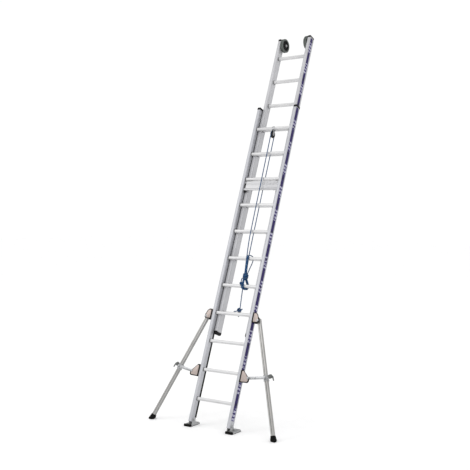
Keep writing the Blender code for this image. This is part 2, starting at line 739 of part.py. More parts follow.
def latch():
    reach = BASE_STILE_X - BASE_STILE_WIDTH / 2 - GAP
    plate = box((-reach, PLATE_N - 0.001, PLATE_BOTTOM_S), (reach, PLATE_N + 0.001, PLATE_TOP_S))
    flange = box((-reach, PLATE_N, PLATE_BOTTOM_S - 0.0002), (reach, -0.0065, PLATE_BOTTOM_S + 0.002))
    tabs = []
    for side in SIDES.values():
        low, high = sorted((side * reach, side * (reach - 0.002)))
        tabs.append(box((low, PLATE_N, PLATE_BOTTOM_S + 0.0005), (high, 0.0085, PLATE_TOP_S - 0.0005)))
    part("latch_plate", plate, BRUSHED_STEEL, LADDER, add=[flange, *tabs])

    pivot = new_empty("latch_pivot", (0, LATCH_N, LATCH_S), parent=LADDER)
    reach -= 0.0024
    shaft = rod(0.005, (-reach, 0, 0), (reach, 0, 0))
    hook = [(-0.003, -0.010), (0.004, -0.010), (0.008, 0.000), (0.017, 0.045), (0.0275, 0.096)]
    hook += [(0.0255, 0.1005), (0.0195, 0.100), (0.0105, 0.060), (-0.003, 0.020), (-0.0065, 0.000)]
    outline = rounded_polygon(hook, 0.0015, 1)
    pawls = [
        prism([outline], side * LATCH_PAWL_X - 0.004, side * LATCH_PAWL_X + 0.004, ACROSS)
        for side in SIDES.values()
    ]
    part("latch_pawls", shaft, BLACK_METAL, pivot, add=pawls)


clear_scene()
PARTS = new_collection("extension_ladder")
CUTTERS = new_collection("cutters")
ALUMINIUM = new_material("stile_aluminium", (0.80, 0.80, 0.86), 0.35, 1.0)
RUNG_METAL = new_material("rung_aluminium", (0.72, 0.72, 0.74), 0.45, 1.0)
LEG_METAL = new_material("leg_aluminium", (0.70, 0.70, 0.71), 0.45, 1.0)
ZINC = new_material("bright_zinc", (0.66, 0.66, 0.68), 0.35, 1.0)
PINK_ZINC = new_material("bracket_zinc", (0.62, 0.52, 0.50), 0.45, 0.9)
BRUSHED_STEEL = new_material("latch_steel", (0.62, 0.62, 0.64), 0.40, 1.0)
CAST_METAL = new_material("cast_metal", (0.42, 0.42, 0.43), 0.55, 0.9)
BLACK_METAL = new_material("latch_black", (0.03, 0.03, 0.03), 0.45, 0.5)
BLACK_PLASTIC = new_material("black_plastic", (0.025, 0.025, 0.027), 0.45)
BLACK_RUBBER = new_material("black_rubber", (0.02, 0.02, 0.02), 0.80)
TYRE_RUBBER = new_material("wheel_rubber", (0.20, 0.20, 0.20), 0.70)
ROPE_BLUE = new_material("blue_rope", (0.03, 0.12, 0.45), 0.85)

LADDER = new_empty("ladder_frame", (0, ORIGIN_Y, 0), (-LEAN, 0, 0))
base_section()
fly_section()
wall_wheels()
swivel_shoes()
stabilisers()
pulley()
ropes()
eye_bolt()
latch()
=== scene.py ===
"""A leaning extension ladder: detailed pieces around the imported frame, in a plain pale studio.

Ladder axes: X across, Y (called n) square to the ladder towards the wall, Z (called s) up the slope.
"""

import math

import bmesh
import bpy
from mathutils import Matrix, Vector


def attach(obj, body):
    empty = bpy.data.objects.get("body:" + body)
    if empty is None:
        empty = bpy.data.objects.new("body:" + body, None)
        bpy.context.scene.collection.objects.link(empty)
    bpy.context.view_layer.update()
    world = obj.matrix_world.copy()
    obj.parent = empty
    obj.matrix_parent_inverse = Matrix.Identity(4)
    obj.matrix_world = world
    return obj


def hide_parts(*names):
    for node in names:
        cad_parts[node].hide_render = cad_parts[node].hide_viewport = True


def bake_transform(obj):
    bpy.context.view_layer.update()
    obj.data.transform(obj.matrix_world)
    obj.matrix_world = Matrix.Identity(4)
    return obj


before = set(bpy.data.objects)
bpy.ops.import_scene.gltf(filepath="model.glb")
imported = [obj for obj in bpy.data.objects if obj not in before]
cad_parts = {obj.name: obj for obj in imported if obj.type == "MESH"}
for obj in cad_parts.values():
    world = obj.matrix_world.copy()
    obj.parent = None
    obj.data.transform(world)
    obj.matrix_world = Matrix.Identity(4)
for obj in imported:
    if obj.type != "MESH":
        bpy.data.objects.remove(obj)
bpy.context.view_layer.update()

# The ladder's dimensions, in metres, as in its CAD source.
LEAN = math.radians(21.2)
PITCH = 0.28
RUNGS = 11
FIRST_RUNG_S = 0.262
RUNG_SIZE = 0.030
RUNG_CORNER = 0.006
BASE_X, BASE_WIDTH, BASE_DEPTH, BASE_N = 0.2195, 0.033, 0.066, 0.0
BASE_RUNG_N = -0.005
BASE_BOTTOM_S, BASE_TOP_S = 0.042, 3.294
FLY_X, FLY_WIDTH, FLY_DEPTH, FLY_N = 0.181, 0.034, 0.078, 0.051
FLY_RUNG_N = 0.052
FLY_BOTTOM_S, FLY_TOP_S = 0.906, 4.128
FLY_RUNG_OFFSET = 0.014
FLY_RISE = 3
STILE_WALL = 0.002
WHEEL_S, WHEEL_N, WHEEL_X, WHEEL_RADIUS, WHEEL_WIDTH = 4.085, 0.070, 0.142, 0.0725, 0.034
SHOE_PIVOT_S, SHOE_INNER_X, SHOE_WIDTH = 0.062, 0.200, 0.075
SHOE_FRONT, SHOE_REAR = -0.033, 0.115
TREAD_THICKNESS, SHOE_PLATE = 0.012, 0.006
LEG_TOP = Vector((0.300, 0.0, 1.055))
LEG_ANGLE = math.radians(20.8)
LEG_WIDTH, LEG_DEPTH = 0.032, 0.030
LEG_FOOT_START = 1.066
TIE_PIVOT = Vector((0.324, 0.0, 0.512))
TIE_THICKNESS, TIE_HALF_WIDTH = 0.004, 0.014
COLLAR_REACH, COLLAR_HEIGHT = 0.5535, 0.056
SHEAVE_S, SHEAVE_N, SHEAVE_ROPE_RADIUS = 2.997, -0.0033, 0.0318
ROPE_RADIUS = 0.0045
PLATE_BOTTOM_S, PLATE_TOP_S, PLATE_N = 2.380, 2.478, -0.0155
LATCH_S, LATCH_N, LATCH_PAWL_X = 2.392, 0.002, 0.150
STRAP_N = -0.0065
EYE_X, EYE_N, EYE_RISE = 0.021, 0.047, 0.036
REAR_Y = WHEEL_S * math.sin(LEAN) + WHEEL_N * math.cos(LEAN) + WHEEL_RADIUS
ORIGIN_Y = -(REAR_Y + SHOE_FRONT) / 2

SIDES = {"left": -1, "right": 1}
LADDER = Matrix.Translation((0, ORIGIN_Y, 0)) @ Matrix.Rotation(-LEAN, 4, "X")


def base_rung_s(number):
    return FIRST_RUNG_S + (number - 1) * PITCH


def fly_rung_s(number):
    return base_rung_s(number + FLY_RISE) + FLY_RUNG_OFFSET


def shift(x=0.0, y=0.0, z=0.0):
    return Matrix.Translation((x, y, z))


def mm(*points, at=(0, 0, 0)):
    """Points given in millimetres from a place in metres, as a list in metres."""
    return [tuple(v / 1000 + start for v, start in zip(p, at)) for p in points]


def aimed(origin, direction):
    """A matrix whose Z axis runs from origin along direction."""
    turn = Vector((0, 0, 1)).rotation_difference(Vector(direction))
    return Matrix.Translation(origin) @ turn.to_matrix().to_4x4()


# Axes for outlines: their own two axes and the extrusion's.
UP = Matrix.Identity(4)
ACROSS = Matrix(((0, 0, 1, 0), (1, 0, 0, 0), (0, 1, 0, 0), (0, 0, 0, 1)))
FLAT = Matrix(((1, 0, 0, 0), (0, 0, -1, 0), (0, 1, 0, 0), (0, 0, 0, 1)))


# Camera, light and floor.

CAMERA_PLACE = (4.502, -6.0065 + ORIGIN_Y, 2.004)
CAMERA_AZIMUTH = math.radians(35.05)
CAMERA_ELEVATION = math.radians(-1.60)
CAMERA_LENS = 62.83


def add_camera():
    data = bpy.data.cameras.new("camera")
    data.lens = CAMERA_LENS
    data.sensor_width = 36
    camera = bpy.data.objects.new("camera", data)
    bpy.context.scene.collection.objects.link(camera)
    camera.location = CAMERA_PLACE
    level = math.cos(CAMERA_ELEVATION)
    across, ahead = -math.sin(CAMERA_AZIMUTH) * level, math.cos(CAMERA_AZIMUTH) * level
    forward = Vector((across, ahead, math.sin(CAMERA_ELEVATION)))
    camera.rotation_euler = forward.to_track_quat("-Z", "Y").to_euler()
    bpy.context.scene.camera = camera


def add_light(name, place, target, size, power):
    data = bpy.data.lights.new(name, "AREA")
    data.size = size
    data.energy = power
    light = bpy.data.objects.new(name, data)
    bpy.context.scene.collection.objects.link(light)
    light.location = place
    light.rotation_euler = (Vector(target) - Vector(place)).to_track_quat("-Z", "Y").to_euler()


def add_studio():
    world = bpy.data.worlds.new("studio")
    world.use_nodes = True
    background = world.node_tree.nodes["Background"]
    background.inputs["Color"].default_value = (1.0, 1.0, 1.0, 1.0)
    background.inputs["Strength"].default_value = 1.02
    bpy.context.scene.world = world
    bpy.context.scene.view_settings.view_transform = "Standard"
    add_light("key", (-4.5, -6.5, 6.5), (0, 0, 1.8), 3.5, 110)
    add_light("fill", (5.0, -8.0, 3.5), (0, 0, 1.8), 4.0, 25)
    bm = bmesh.new()
    bmesh.ops.create_grid(bm, x_segments=1, y_segments=1, size=45)
    mesh = bpy.data.meshes.new("floor")
    bm.to_mesh(mesh)
    bm.free()
    floor = bpy.data.objects.new("floor", mesh)
    bpy.context.scene.collection.objects.link(floor)
    mesh.materials.append(surface("floor_paint", (0.97, 0.97, 0.97), (1.0, 1.0, 1.0), (0.9, 0.95), grain=5))


# Materials.


def node(tree, kind, **inputs):
    """A shader node; each named input is linked when its value is a socket, and set when it isn't."""
    made = tree.nodes.new(kind)
    fill(tree, made, **inputs)
    return made


def new_material(name):
    mat = bpy.data.materials.new(name)
    mat.use_nodes = True
    return mat, mat.node_tree, mat.node_tree.nodes["Principled BSDF"]


def fill(tree, made, **inputs):
    for key, value in inputs.items():
        socket = made.inputs[key.replace("_", " ")]
        if isinstance(value, bpy.types.NodeSocket):
            tree.links.new(value, socket)
        else:
            socket.default_value = value


def own_coordinates(tree, stretch=(1, 1, 1)):
    coord = tree.nodes.new("ShaderNodeTexCoord")
    return node(tree, "ShaderNodeMapping", Vector=coord.outputs["Object"], Scale=stretch).outputs["Vector"]


def noise(tree, vector, scale, detail=5.0):
    made = node(tree, "ShaderNodeTexNoise", Vector=vector, Scale=scale, Detail=detail, Roughness=0.55)
    return made.outputs["Fac"]


def maths(tree, operation, a, b):
    made = tree.nodes.new("ShaderNodeMath")
    made.operation = operation
    for socket, value in zip(made.inputs, (a, b)):
        if isinstance(value, (int, float)):
            socket.default_value = value
        else:
            tree.links.new(value, socket)
    return made.outputs["Value"]


def mixed(tree, a, b, share):
    """Share of a and the rest of b."""
    return maths(tree, "ADD", maths(tree, "MULTIPLY", a, share), maths(tree, "MULTIPLY", b, 1 - share))


def ramp(tree, value, *stops):
    made = node(tree, "ShaderNodeValToRGB", Fac=value)
    elements = made.color_ramp.elements
    while len(elements) < len(stops):
        elements.new(0.5)
    for element, (place, colour) in zip(elements, stops):
        element.position = place
        element.color = (*colour, 1.0)
    return made.outputs["Color"]


def span(tree, value, low, high):
    """A noise value, which stays near its middle, spread over low to high."""
    limits = {"From_Min": 0.3, "From_Max": 0.7, "To_Min": low, "To_Max": high}
    return node(tree, "ShaderNodeMapRange", Value=value, **limits).outputs["Result"]


def add_bump(tree, shader, height, strength, distance):
    made = node(tree, "ShaderNodeBump", Height=height, Strength=strength, Distance=distance)
    tree.links.new(made.outputs["Normal"], shader.inputs["Normal"])


def surface(name, low, high, rough, metallic=0, stretch=(1, 1, 1), grain=60, broad=4.0, bump=0.2, gloss=0.5):
    """Colour, roughness and bump from a fine grain, stretched along the draw, and a broad unevenness."""
    mat, tree, shader = new_material(name)
    fine = noise(tree, own_coordinates(tree, stretch), grain)
    both = mixed(tree, fine, noise(tree, own_coordinates(tree), broad, 3.0), 0.6)
    colour = ramp(tree, both, (0.36, low), (0.64, high))
    fill(tree, shader, Base_Color=colour, Roughness=span(tree, both, *rough), Metallic=metallic)
    shader.inputs["Specular IOR Level"].default_value = gloss
    add_bump(tree, shader, fine, bump, 0.0003)
    return mat


def spangled(name, low, high, rough, metallic, cells=220.0):
    """Zinc's crystal patches: flat cells of slightly different tone, with fine noise over them."""
    mat, tree, shader = new_material(name)
    vector = own_coordinates(tree)
    cell = node(tree, "ShaderNodeTexVoronoi", Vector=vector, Scale=cells)
    tone = node(tree, "ShaderNodeSeparateColor", Color=cell.outputs["Color"])
    both = mixed(tree, tone.outputs["Red"], noise(tree, vector, 40.0), 0.45)
    colour = ramp(tree, both, (0.25, low), (0.75, high))
    fill(tree, shader, Base_Color=colour, Roughness=span(tree, both, *rough), Metallic=metallic)
    add_bump(tree, shader, both, 0.12, 0.0002)
    return mat


def rope_material():
    """Blue braid: painted shade between the strands, painted light on their crowns, with a pale fleck now
    and then.
    """
    mat, tree, shader = new_material("rope_braid")
    crown, fleck = tree.nodes.new("ShaderNodeAttribute"), tree.nodes.new("ShaderNodeAttribute")
    crown.attribute_name, fleck.attribute_name = "strand", "fleck"
    fibre = noise(tree, own_coordinates(tree), 900.0, 3.0)
    height = mixed(tree, crown.outputs["Fac"], fibre, 0.75)
    dark, blue, light = (0.0025, 0.008, 0.026), (0.008, 0.034, 0.102), (0.022, 0.095, 0.24)
    mix = tree.nodes.new("ShaderNodeMix")
    mix.data_type = "RGBA"
    tree.links.new(fleck.outputs["Fac"], mix.inputs["Factor"])
    # The ramp over crown height paints shade in the hollows between strands and light on their crowns.
    tree.links.new(ramp(tree, height, (0.25, dark), (0.62, blue), (0.95, light)), mix.inputs[6])
    mix.inputs[7].default_value = (0.30, 0.45, 0.62, 1.0)
    fill(tree, shader, Base_Color=mix.outputs[2], Roughness=0.8, Specular_IOR_Level=0.15)
    add_bump(tree, shader, fibre, 0.5, 0.0003)
    return mat


def label_material(name, ground, mark, density):
    """A vinyl strip with small generic marks in rows."""
    mat, tree, shader = new_material(name)
    vector = own_coordinates(tree)
    split = node(tree, "ShaderNodeSeparateXYZ", Vector=vector)
    marks = maths(tree, "GREATER_THAN", noise(tree, vector, 70.0), density)
    for axis, repeats, gap in (("Z", 29.0, 0.42), ("Y", 62.0, 0.34)):
        cell = maths(tree, "FRACT", maths(tree, "MULTIPLY", split.outputs[axis], repeats), 0)
        marks = maths(tree, "MULTIPLY", marks, maths(tree, "GREATER_THAN", cell, gap))
    colour = ramp(tree, marks, (0.0, ground), (1.0, mark))
    fill(tree, shader, Base_Color=colour, Roughness=0.45, Specular_IOR_Level=0.15)
    add_bump(tree, shader, noise(tree, vector, 300.0), 0.15, 0.0002)
    return mat


EVEN, DRAWN_UP, DRAWN_ACROSS = (1, 1, 1), (1, 1, 0.03), (0.03, 1, 1)
STILE = surface("stile_anodised", (0.40, 0.405, 0.43), (0.52, 0.525, 0.555), (0.34, 0.5), 0.4, DRAWN_UP, 420)
# The fly's stiles take a lighter copy of the stile's anodised colour: painted light, not a different finish.
FLY_STILE_PAINTED_LIGHT = surface("fly_anodised_painted_light", (0.45, 0.45, 0.465), (0.57, 0.57, 0.59), (0.34, 0.5), 0.4, DRAWN_UP, 420)
RUNG = surface("rung_drawn", (0.54, 0.54, 0.545), (0.69, 0.69, 0.695), (0.36, 0.52), 0.5, DRAWN_ACROSS, 420)
# Painted shade: a dark grey for the swaged rung ends and the latch panel's line under its rolled edge,
# standing in for shade where parts meet.
PAINTED_SHADE = surface("painted_shade_grey", (0.075, 0.075, 0.08), (0.17, 0.17, 0.175), (0.45, 0.65), 0.5, EVEN, 260, 30)
LEG = surface("leg_drawn", (0.31, 0.305, 0.295), (0.46, 0.455, 0.445), (0.26, 0.40), 0.85, DRAWN_UP, 420)
ZINC = spangled("zinc_plate", (0.28, 0.285, 0.295), (0.50, 0.505, 0.515), (0.25, 0.45), 0.95)
PINK_ZINC = spangled("passivated_zinc", (0.34, 0.285, 0.26), (0.50, 0.43, 0.40), (0.34, 0.52), 0.7, 260.0)
STEEL = surface("latch_panel", (0.50, 0.50, 0.51), (0.64, 0.64, 0.65), (0.42, 0.56), 0.5, (0.05, 1, 1), 380)
CAST = surface("cast_alloy", (0.28, 0.285, 0.29), (0.54, 0.545, 0.55), (0.45, 0.70), 0.6, EVEN, 300, 40, 0.6)

# Mouldings: name, dark and light colour, roughness, grain, broad scale, bump, gloss.
BLACK_METAL, PLASTIC, RUBBER, TYRE, GREY_PLASTIC = (
    surface(name, low, high, rough, 0, EVEN, grain, broad, bump, gloss)
    for name, low, high, rough, grain, broad, bump, gloss in (
        ("blackened_steel", (0.004, 0.004, 0.0045), (0.018, 0.018, 0.019), (0.45, 0.65), 300, 4, 0.2, 0.2),
        ("black_moulding", (0.003, 0.003, 0.0033), (0.011, 0.011, 0.012), (0.4, 0.6), 900, 12, 0.25, 0.16),
        ("black_rubber_grain", (0.0025,) * 3, (0.01, 0.01, 0.0098), (0.75, 0.92), 600, 18, 0.5, 0.1),
        ("tyre_rubber_grey", (0.085, 0.095, 0.09), (0.165, 0.18, 0.17), (0.6, 0.85), 420, 18, 0.4, 0.2),
        ("grey_moulding", (0.075, 0.08, 0.078), (0.15, 0.155, 0.152), (0.35, 0.55), 500, 16, 0.2, 0.3),
    )
)
ROPE = rope_material()
SPECKLED = spangled("speckled_panel", (0.36, 0.36, 0.375), (0.62, 0.62, 0.635), (0.42, 0.60), 0.5, 330.0)
INDIGO = label_material("label_solid", (0.020, 0.011, 0.090), (0.026, 0.016, 0.110), 0.62)
PALE_LABEL = label_material("label_marked", (0.028, 0.018, 0.110), (0.60, 0.60, 0.72), 0.47)


# Outlines: closed lists of points in a plane.


def arc(centre, radius, start, end, steps):
    turn = [math.radians(start + (end - start) * i / steps) for i in range(steps + 1)]
    return [(centre[0] + radius * math.cos(a), centre[1] + radius * math.sin(a)) for a in turn]


def grooved(centre, size, corner, grooves=(), steps=4, scale=1.0):
    """A rounded rectangle. Each groove is (side from +u counter-clockwise, offset, width, depth); scale 0
    keeps the grooves' points without their depth."""
    points = []
    for k in range(4):
        turn = math.pi / 2 * k
        normal = Vector((math.cos(turn), math.sin(turn)))
        along = Vector((-normal.y, normal.x))
        face = size[k % 2] / 2
        half = size[(k + 1) % 2] / 2 - corner
        for _, offset, width, depth in sorted(g for g in grooves if g[0] == k):
            slope = min(depth, width / 3)
            edge, floor = width / 2, width / 2 - slope
            for t, d in ((-edge, 0), (-floor, depth), (floor, depth), (edge, 0)):
                p = normal * (face - d * scale) + along * (offset + t)
                points.append((centre[0] + p.x, centre[1] + p.y))
        for i in range(steps + 1):
            a = turn + math.pi / 2 * i / steps
            p = normal * (face - corner) + along * half + Vector((math.cos(a), math.sin(a))) * corner
            points.append((centre[0] + p.x, centre[1] + p.y))
    return points


def rounded_polygon(corners, radius, steps=4):
    """The polygon with each corner cut back by radius and rounded."""
    points = []
    for i, corner in enumerate(corners):
        here = Vector(corner)
        before = here + (Vector(corners[i - 1]) - here).normalized() * radius
        after = here + (Vector(corners[(i + 1) % len(corners)]) - here).normalized() * radius
        for k in range(steps + 1):
            t = k / steps
            p = before * (1 - t) ** 2 + here * (2 * t * (1 - t)) + after * t**2
            points.append((p.x, p.y))
    return points


def capsule(start, end, radius, steps=12):
    turn = math.degrees(math.atan2(end[1] - start[1], end[0] - start[0]))
    return arc(end, radius, turn - 90, turn + 90, steps) + arc(start, radius, turn + 90, turn + 270, steps)


def hexagon(across, limit=1.0, points=36):
    """A hexagon across its flats, its corners cut to a circle of limit times its inner radius."""
    loop = []
    for k in range(points):
        a = 2 * math.pi * k / points
        radius = across / 2 / math.cos(a % (math.pi / 3) - math.pi / 6)
        radius = min(radius, across / 2 * limit)
        loop.append((radius * math.cos(a), radius * math.sin(a)))
    return loop


# Solids, each a bmesh.


def skin(bm, rings, closed=False):
    """Quads between rings of equal count, ends filled, or joined where closed."""
    pairs = list(zip(rings, rings[1:])) + ([(rings[-1], rings[0])] if closed else [])
    for a, b in pairs:
        for i in range(len(a)):
            j = (i + 1) % len(a)
            bm.faces.new((a[i], a[j], b[j], b[i]))
    if not closed:
        bm.faces.new(rings[0][::-1])
        bm.faces.new(rings[-1])
    return bm


def loft(rings, closed=False):
    bm = bmesh.new()
    return skin(bm, [[bm.verts.new(p) for p in ring] for ring in rings], closed)


def prism(loop, low, high, axes=UP, bevel=0.0, segments=2):
    """An outline extruded from low to high, its end edges rounded by bevel."""
    bm = loft([[(u, v, w) for u, v in loop] for w in (low, high)])
    if bevel:
        edges = {e for f in bm.faces if len(f.verts) == len(loop) and len(loop) != 4 for e in f.edges}
        edges = list(edges) if edges else list(bm.edges)
        bmesh.ops.bevel(bm, geom=edges, offset=bevel, segments=segments, profile=0.5, affect="EDGES")
    bm.transform(axes)
    return bm


def tube(outer, inner, low, high, axes=UP):
    """A hollow extrusion; both outlines have the same number of points."""
    corners = ((outer, low), (outer, high), (inner, high), (inner, low))
    bm = loft([[(u, v, w) for u, v in loop] for loop, w in corners], closed=True)
    bm.transform(axes)
    return bm


def block(low, high, bevel=0.0, segments=2):
    bm = bmesh.new()
    bmesh.ops.create_cube(bm, size=1)
    bmesh.ops.scale(bm, vec=Vector(high) - Vector(low), verts=bm.verts)
    bmesh.ops.translate(bm, vec=(Vector(high) + Vector(low)) / 2, verts=bm.verts)
    if bevel:
        edges = list(bm.edges)
        bmesh.ops.bevel(bm, geom=edges, offset=bevel, segments=segments, profile=0.5, affect="EDGES")
    return bm


def lathe(profile, steps=40, lobes=0, depth=0.0, axes=UP):
    """A closed (radius, z) profile turned about Z. With lobes, the radius waves by depth round the turn."""
    rings = []
    for k in range(steps):
        a = 2 * math.pi * k / steps
        wave = 1 - depth * (0.5 - 0.5 * math.cos(lobes * a)) if lobes else 1.0
        rings.append([(r * wave * math.cos(a), r * wave * math.sin(a), z) for r, z in profile])
    bm = loft(rings, closed=True)
    bmesh.ops.remove_doubles(bm, verts=bm.verts, dist=0.000002)
    bm.transform(axes)
    return bm


def between(p, q, start, end, t):
    """The point at t on a line that passes p at start and q at end."""
    return (p * (end - t) + q * (t - start)) / (end - start)


def smooth_path(points, spacing):
    """Evenly spaced points along a centripetal Catmull-Rom curve through the given ones."""
    knots = [Vector(p) for p in points]
    knots = [2 * knots[0] - knots[1], *knots, 2 * knots[-1] - knots[-2]]
    fine = []
    for a, b, c, d in zip(knots, knots[1:], knots[2:], knots[3:]):
        lengths = [max((q - p).length, 1e-6) ** 0.5 for p, q in ((a, b), (b, c), (c, d))]
        t1, t2, t3 = lengths[0], lengths[0] + lengths[1], sum(lengths)
        for k in range(24):
            t = t1 + (t2 - t1) * k / 24
            p1, p2, p3 = between(a, b, 0.0, t1, t), between(b, c, t1, t2, t), between(c, d, t2, t3, t)
            fine.append(between(between(p1, p2, 0.0, t2, t), between(p2, p3, t1, t3, t), t1, t2, t))
    fine.append(knots[-2])
    along = [0.0]
    for p, q in zip(fine, fine[1:]):
        along.append(along[-1] + (q - p).length)
    count = max(2, round(along[-1] / spacing) + 1)
    result, k = [], 0
    for i in range(count):
        target = along[-1] * i / (count - 1)
        while k < len(fine) - 2 and along[k + 1] < target:
            k += 1
        t = (target - along[k]) / max(along[k + 1] - along[k], 1e-9)
        result.append(fine[k].lerp(fine[k + 1], min(t, 1.0)))
    return result


BRAID_PITCH = 0.022


def sweep(path, radius, sides=16, braided=False):
    """A round bar along a path, its frame carried along untwisted; radius may be a function of 0 to 1."""
    bm = bmesh.new()
    strand, fleck = bm.verts.layers.float.new("strand"), bm.verts.layers.float.new("fleck")
    normal = (path[1] - path[0]).normalized().orthogonal().normalized()
    rings, along = [], 0.0
    for i, p in enumerate(path):
        tangent = (path[min(i + 1, len(path) - 1)] - path[max(i - 1, 0)]).normalized()
        normal = (normal - tangent * normal.dot(tangent)).normalized()
        other = tangent.cross(normal)
        along += (p - path[i - 1]).length if i else 0.0
        size = radius(i / (len(path) - 1)) if callable(radius) else radius
        wave = 2 * math.pi * along / BRAID_PITCH
        ring = []
        for k in range(sides):
            a = 2 * math.pi * k / sides
            one, two = abs(math.cos(2 * a + wave)), abs(math.cos(2 * a - wave))
            crown = max(one, two) if braided else 1.0
            reach = size * (0.86 + 0.17 * crown) if braided else size
            vert = bm.verts.new(p + (normal * math.cos(a) + other * math.sin(a)) * reach)
            # The crown height, which the rope's material turns into painted shade and painted light.
            vert[strand] = crown
            vert[fleck] = 0.8 if braided and one > 0.93 and math.cos(a + wave / 2) > 0.8 else 0.0
            ring.append(vert)
        rings.append(ring)
    return skin(bm, rings)


class Shape:
    """Solids gathered in one mesh, each with its own material."""

    def __init__(self):
        self.bm = bmesh.new()
        self.materials = []

    def add(self, solid, mat, at=None):
        if at is not None:
            solid.transform(at)
        if mat not in self.materials:
            self.materials.append(mat)
        index = self.materials.index(mat)
        for face in solid.faces:
            face.material_index = index
        mesh = bpy.data.meshes.new("solid")
        bmesh.ops.recalc_face_normals(solid, faces=solid.faces)
        solid.to_mesh(mesh)
        solid.free()
        self.bm.from_mesh(mesh)
        bpy.data.meshes.remove(mesh)
        return self

    def bolt(self, place, direction, across=0.017, height=0.0055, washer=0.0012):
        """A hexagon head on a washer."""
        at = aimed(place, direction)
        ring = [(0.30, 0), (0.66, 0), (0.68, washer / 2), (0.66, washer), (0.30, washer)]
        self.add(lathe([(across * r, z) for r, z in ring], 28), ZINC, at)
        rings = [
            [(u, v, z) for u, v in hexagon(across, limit)]
            for z, limit in ((washer, 1.2), (height - 0.001, 1.2), (height - 0.0004, 1.04), (height, 0.92))
        ]
        return self.add(loft(rings), ZINC, at)

    def turned(self, profile, mat, place, direction=(0, 0, 1), steps=24):
        return self.add(lathe(profile, steps), mat, aimed(place, direction))

    def rod(self, mat, place, direction, radius, low, high, hole=0.0, steps=20):
        """A round bar or, with a hole, a sleeve, from low to high along a direction."""
        profile = [(hole, low), (radius, low), (radius, high), (hole, high)]
        return self.turned(profile, mat, place, direction, steps)

    def piece(self, name, body, slot, replaced=(), at=LADDER, sharp=34):
        mesh = bpy.data.meshes.new(name)
        self.bm.to_mesh(mesh)
        self.bm.free()
        for mat in self.materials:
            mesh.materials.append(mat)
        mesh.shade_smooth()
        mesh.set_sharp_from_angle(angle=math.radians(sharp))
        obj = bpy.data.objects.new(name, mesh)
        bpy.context.scene.collection.objects.link(obj)
        obj.matrix_world = at
        if body:
            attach(obj, body)
        if replaced:
            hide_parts(*replaced)
        return obj


# The rope: the fly's line behind, the hand line in front, and the hank tied at rungs 6 and 5.

ROPE_BACK_N = SHEAVE_N + SHEAVE_ROPE_RADIUS
ROPE_FRONT_N = SHEAVE_N - SHEAVE_ROPE_RADIUS
ROPE_STEP = 0.0016
FLY_LINE = [
    (0.000, ROPE_BACK_N, SHEAVE_S - 0.004),
    (0.001, ROPE_BACK_N, 2.60),
    (0.002, ROPE_BACK_N, 2.20),
    (0.004, ROPE_BACK_N, 1.80),
    (0.009, ROPE_BACK_N, 1.46),
    (0.014, ROPE_BACK_N + 0.003, 1.34),
    (0.018, 0.038, 1.25),
    (EYE_X, EYE_N - 0.002, 1.172),
]
HAND_LINE_FRONT = [
    (0.002, ROPE_FRONT_N, 2.80),
    (0.005, ROPE_FRONT_N, 2.45),
    (0.008, ROPE_FRONT_N, 2.10),
    (0.012, ROPE_FRONT_N, 1.86),
    (0.0175, ROPE_FRONT_N + 0.002, 1.76),
    (0.0215, -0.0300, 1.695),
]
HANK_TURNS = 5
STRAND_GAP = 0.0093
HANK_TOPS = ((0.0225, 0.0), (0.0318, 0.0), (0.0411, 0.0), (0.0280, 0.0084), (0.0375, 0.0084))
HANK_BACKS = (0.0080, 0.0173, 0.0060, 0.0660)
ROUND_RUNG = RUNG_SIZE / 2 + ROPE_RADIUS + 0.0030
ROUND_CORNER = 0.0170
KNOT_S = 1.488


def hank_turn(k):
    """One turn: down the front of rung 6, through the tie, under rung 5 and up behind to rung 6 again."""
    upper, lower = base_rung_s(6), base_rung_s(5)
    odd = k % 2
    top_x, top_layer = HANK_TOPS[k]
    knot_front, knot_back = 0.031 + 0.0056 * k, 0.033 + 0.0056 * k
    layer = 0.0 if k < 3 else 0.0093
    front_x = 0.034 + STRAND_GAP * k if k < 3 else 0.0385 + STRAND_GAP * (k - 3)
    back_x = front_x + 0.030
    n = BASE_RUNG_N
    reach, corner = ROUND_RUNG + layer, ROUND_CORNER + 0.7 * layer
    front_n, back_n = -0.0175 - 0.0070 * odd, -0.002 + 0.0072 * odd
    down = [
        (top_x, n - ROUND_RUNG - top_layer, upper - 0.004),
        (top_x + (knot_front - top_x) * 0.35, n - 0.0195 - 0.9 * top_layer, upper - 0.050),
        (top_x + (knot_front - top_x) * 0.75, (n - 0.019 - 0.6 * top_layer + front_n) / 2, upper - 0.105),
        (knot_front, front_n, KNOT_S + 0.022),
        (knot_front, front_n, KNOT_S),
        (knot_front, front_n, KNOT_S - 0.022),
        ((knot_front + front_x) / 2, (front_n + n - reach) / 2, KNOT_S - 0.055),
        (front_x, n - reach, lower + 0.012),
        (front_x + 0.002, n - corner, lower - corner),
        ((front_x + back_x) / 2, n, lower - reach),
        (back_x - 0.002, n + corner, lower - corner),
        (back_x, n + reach, lower + 0.012),
        ((knot_back + back_x) / 2, (back_n + n + reach) / 2, KNOT_S - 0.055),
        (knot_back, back_n, KNOT_S - 0.022),
        (knot_back, back_n, KNOT_S),
        (knot_back, back_n, KNOT_S + 0.022),
    ]
    if k == HANK_TURNS - 1:
        return down[:-2]
    next_x, layer = HANK_TOPS[k + 1]
    rear_x, bend = HANK_BACKS[k], ROUND_CORNER + 0.7 * layer
    return down + [
        (knot_back + (rear_x - knot_back) * 0.55, (back_n + n + ROUND_RUNG) / 2, upper - 0.095),
        (rear_x, n + ROUND_RUNG + layer, upper - 0.014),
        (rear_x + (next_x - rear_x) * 0.12, n + bend, upper + bend),
        ((rear_x + next_x) / 2, n, upper + ROUND_RUNG + layer),
        (rear_x + (next_x - rear_x) * 0.88, n - bend, upper + bend),
    ]


